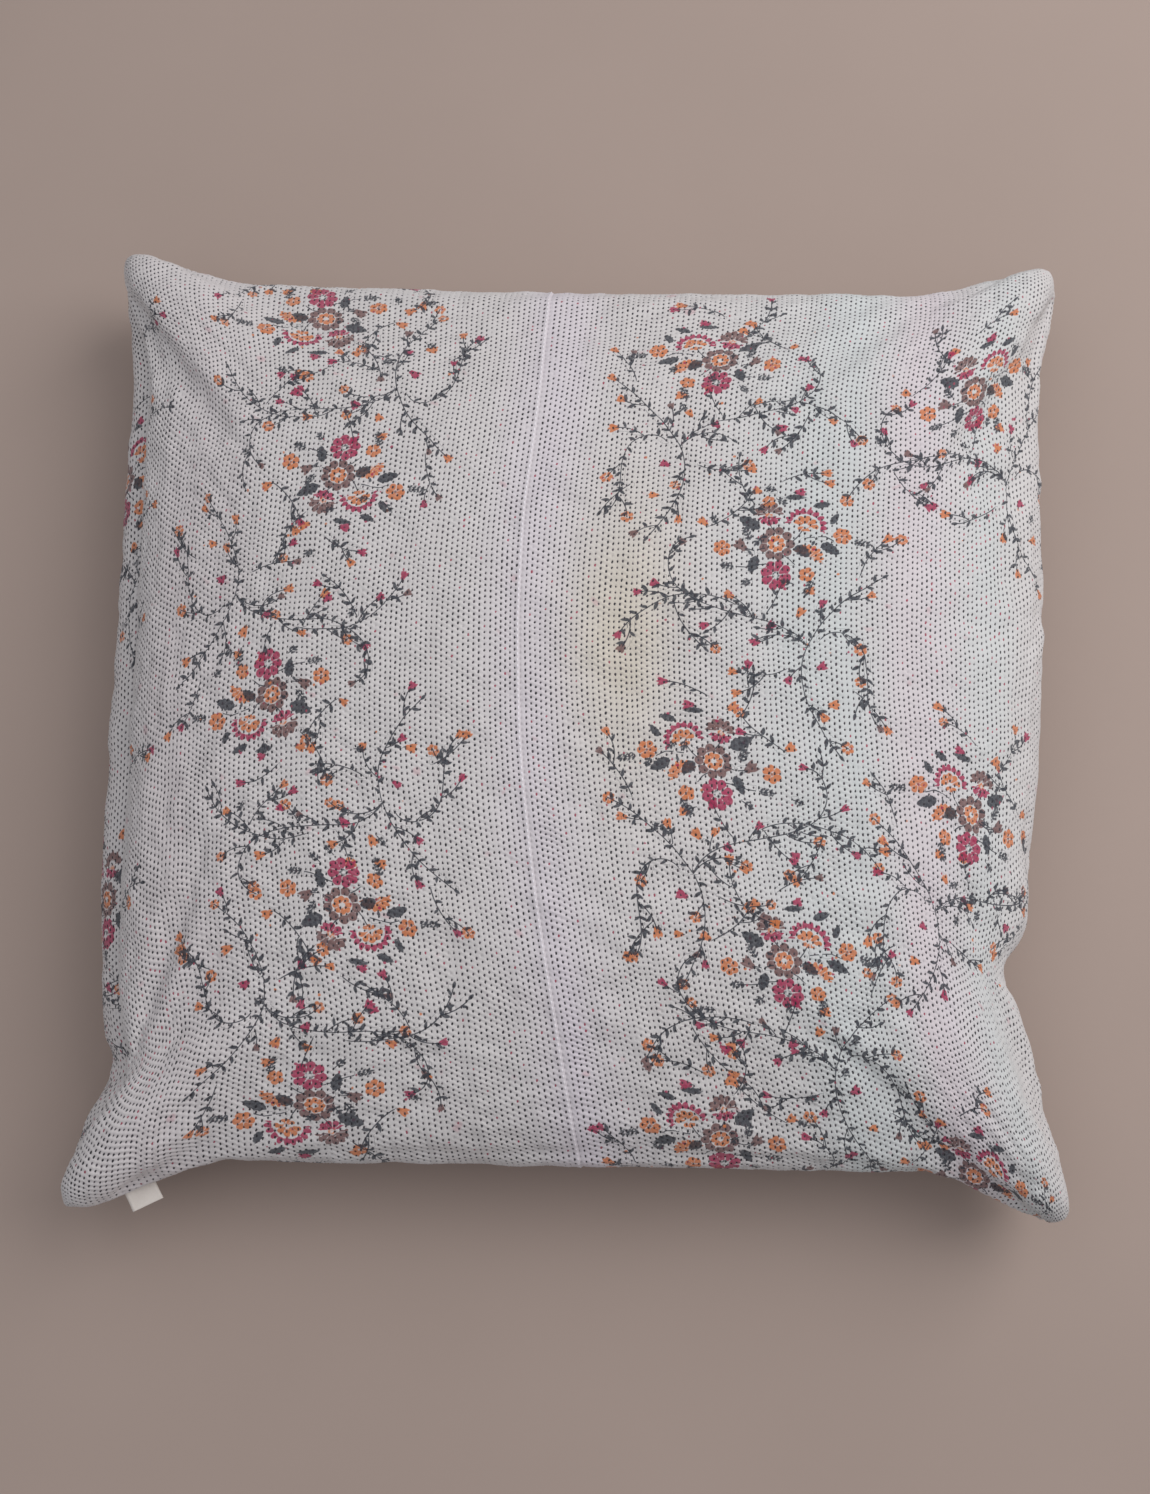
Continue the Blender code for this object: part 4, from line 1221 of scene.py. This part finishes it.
def zip_coil(word):
    """A helix of monofilament, as wide and as high as the coil's box."""
    low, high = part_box("zip_coil_" + word)
    turns = int((high.x - low.x) / COIL_PITCH)
    t = np.linspace(0.0, turns, turns * 8 + 1)
    angle = 2.0 * np.pi * t
    radius_y = (high.y - low.y) / 2 - COIL_WIRE
    radius_z = (high.z - low.z) / 2 - COIL_WIRE
    x = low.x + COIL_WIRE + t / turns * (high.x - low.x - 2 * COIL_WIRE)
    centre = np.stack(
        [
            x,
            (low.y + high.y) / 2 + radius_y * np.cos(angle),
            (low.z + high.z) / 2 + radius_z * np.sin(angle),
        ],
        axis=-1,
    )
    forward = unit(np.gradient(centre, axis=0))
    outward = unit(np.cross(forward, (1.0, 0.0, 0.0)))
    beside = np.cross(forward, outward)
    quarters = (0.0, math.pi / 2, math.pi, 1.5 * math.pi)
    ring = [COIL_WIRE * (math.cos(q) * outward + math.sin(q) * beside) for q in quarters]
    points = np.stack([centre + r for r in ring], axis=1)
    number = np.arange(points.shape[0] * 4).reshape(-1, 4)
    wrapped = np.concatenate([number, number[:, :1]], axis=1)
    faces = lattice_faces(wrapped)[:, ::-1]
    ends = np.array([number[0], number[-1][::-1]])
    piece = mesh_piece("zip_coil_" + word + "_turns", points.reshape(-1, 3), np.concatenate([faces, ends]))
    dress(piece, nylon, "zip_coil_" + word)


def zip_stitching(word):
    """The row of machine stitches that shows on the cover's turned edge beside the zip."""
    low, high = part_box("zip_stitching_" + word)
    x = np.arange(low.x + 0.002, high.x - 0.001, ZIP_STITCH_STEP)
    centre = np.stack([x, 0.0 * x + low.y + 0.0008, 0.0 * x + (low.z + high.z) / 2], axis=-1)
    along, out = np.zeros_like(centre) + (1.0, 0.0, 0.0), np.zeros_like(centre) + (0.0, -1.0, 0.0)
    piece = bars("zip_stitching_" + word + "_row", centre, along, out, *ZIP_STITCH)
    dress(piece, cream, "zip_stitching_" + word)


for word in ("front", "back"):
    zip_tape(word)
    zip_coil(word)
    zip_stitching(word)

# The slider, its tab and the stops keep their modelled shapes, in worn nickel plate.
nickel = Finish("worn_nickel", Metallic=1.0)
nickel_place = nickel.place()
scratches = nickel.noise(nickel.node("Mapping", Vector=nickel_place, Scale=(40.0, 900.0, 300.0)), 3.0)
nickel.feed(
    Base_Color=nickel.mix(scratches, colour(142, 142, 144), colour(184, 184, 186)),
    Roughness=scratches * 0.25 + 0.25,
)
nickel.relief(scratches, 0.0001, 0.3)
METAL_PARTS = (
    "zip_slider", "zip_pull_tab", "zip_bottom_stop", "zip_top_stop_front", "zip_top_stop_back",
)
for part in METAL_PARTS:
    solid = bpy.data.objects[part]
    solid.data.materials.clear()
    solid.data.materials.append(nickel.material)


# ---- inner pad: a plain calico case, sewn shut, packed with polyester wadding ------------------
# It is a little smaller than the cover, follows its shape, and is taken out through the zip.
# The case is two cuts sewn at the rim, and the wadding is one lumpy body inside it.


def shrunk(grid, by):
    """The bag drawn in towards the seam's plane, by shares along X and Y and along Z."""
    points = grid.copy()
    points[..., 0] *= by[0]
    points[..., 1] *= by[0]
    points[..., 2] = SEAM_HEIGHT + (points[..., 2] - SEAM_HEIGHT) * by[1]
    return points


CASE_BY = (0.950, 0.945)
WADDING_BY = (0.925, 0.905)
CASE_STITCH = (0.0030, 0.0008, 0.0005)
calico = Finish("calico", Roughness=0.9)
calico_place = calico.place()
calico_x, calico_y, _ = calico.parts(calico_place)
plain_weave = (calico_x * 5200.0).wave() * (calico_y * 5200.0).wave()
calico.feed(
    Base_Color=calico.mix(
        calico.noise(calico_place, 60.0, 4.0), colour(214, 203, 182), colour(228, 219, 200)
    )
)
calico.relief(plain_weave * 0.3 + 0.5, 0.0002, 0.5)
for word, side in (("front", 1), ("back", -1)):
    grid = shrunk(bag[side], CASE_BY)
    faces = lattice_faces(np.arange(A.size).reshape(A.shape))[:, ::side]
    case = mesh_piece("pad_case_" + word, grid.reshape(-1, 3), faces)
    dress(case, calico, "inner_case_" + word)

case_rim = rim_of(shrunk(bag[1], CASE_BY))
case_seam = seam_bars("pad_case_stitches", case_rim, CASE_STITCH)
dress(case_seam, cream, "inner_case_thread")

lumps = 1.0 - 0.012 * (1.0 + ripple(61, (16, 16), A, B)) * (1.0 - A**8) * (1.0 - B**8)
wadding_front, wadding_back = (shrunk(bag[side], WADDING_BY) for side in (1, -1))
wadding_front[..., 2] = SEAM_HEIGHT + (wadding_front[..., 2] - SEAM_HEIGHT) * lumps
wadding_points, wadding_faces, _, _ = closed_bag(wadding_front, wadding_back)
wadding = mesh_piece("polyester_wadding", wadding_points, wadding_faces)
fibres = Finish("polyester_fibre", Roughness=0.95)
fibre_place = fibres.place()
tangle = fibres.noise(fibre_place, 160.0, 5.0, 0.75)
fibres.feed(Base_Color=fibres.mix(tangle, colour(226, 226, 224), colour(246, 246, 244)))
fibres.relief(tangle, 0.001, 0.8)
dress(wadding, fibres, "fibre_filling")
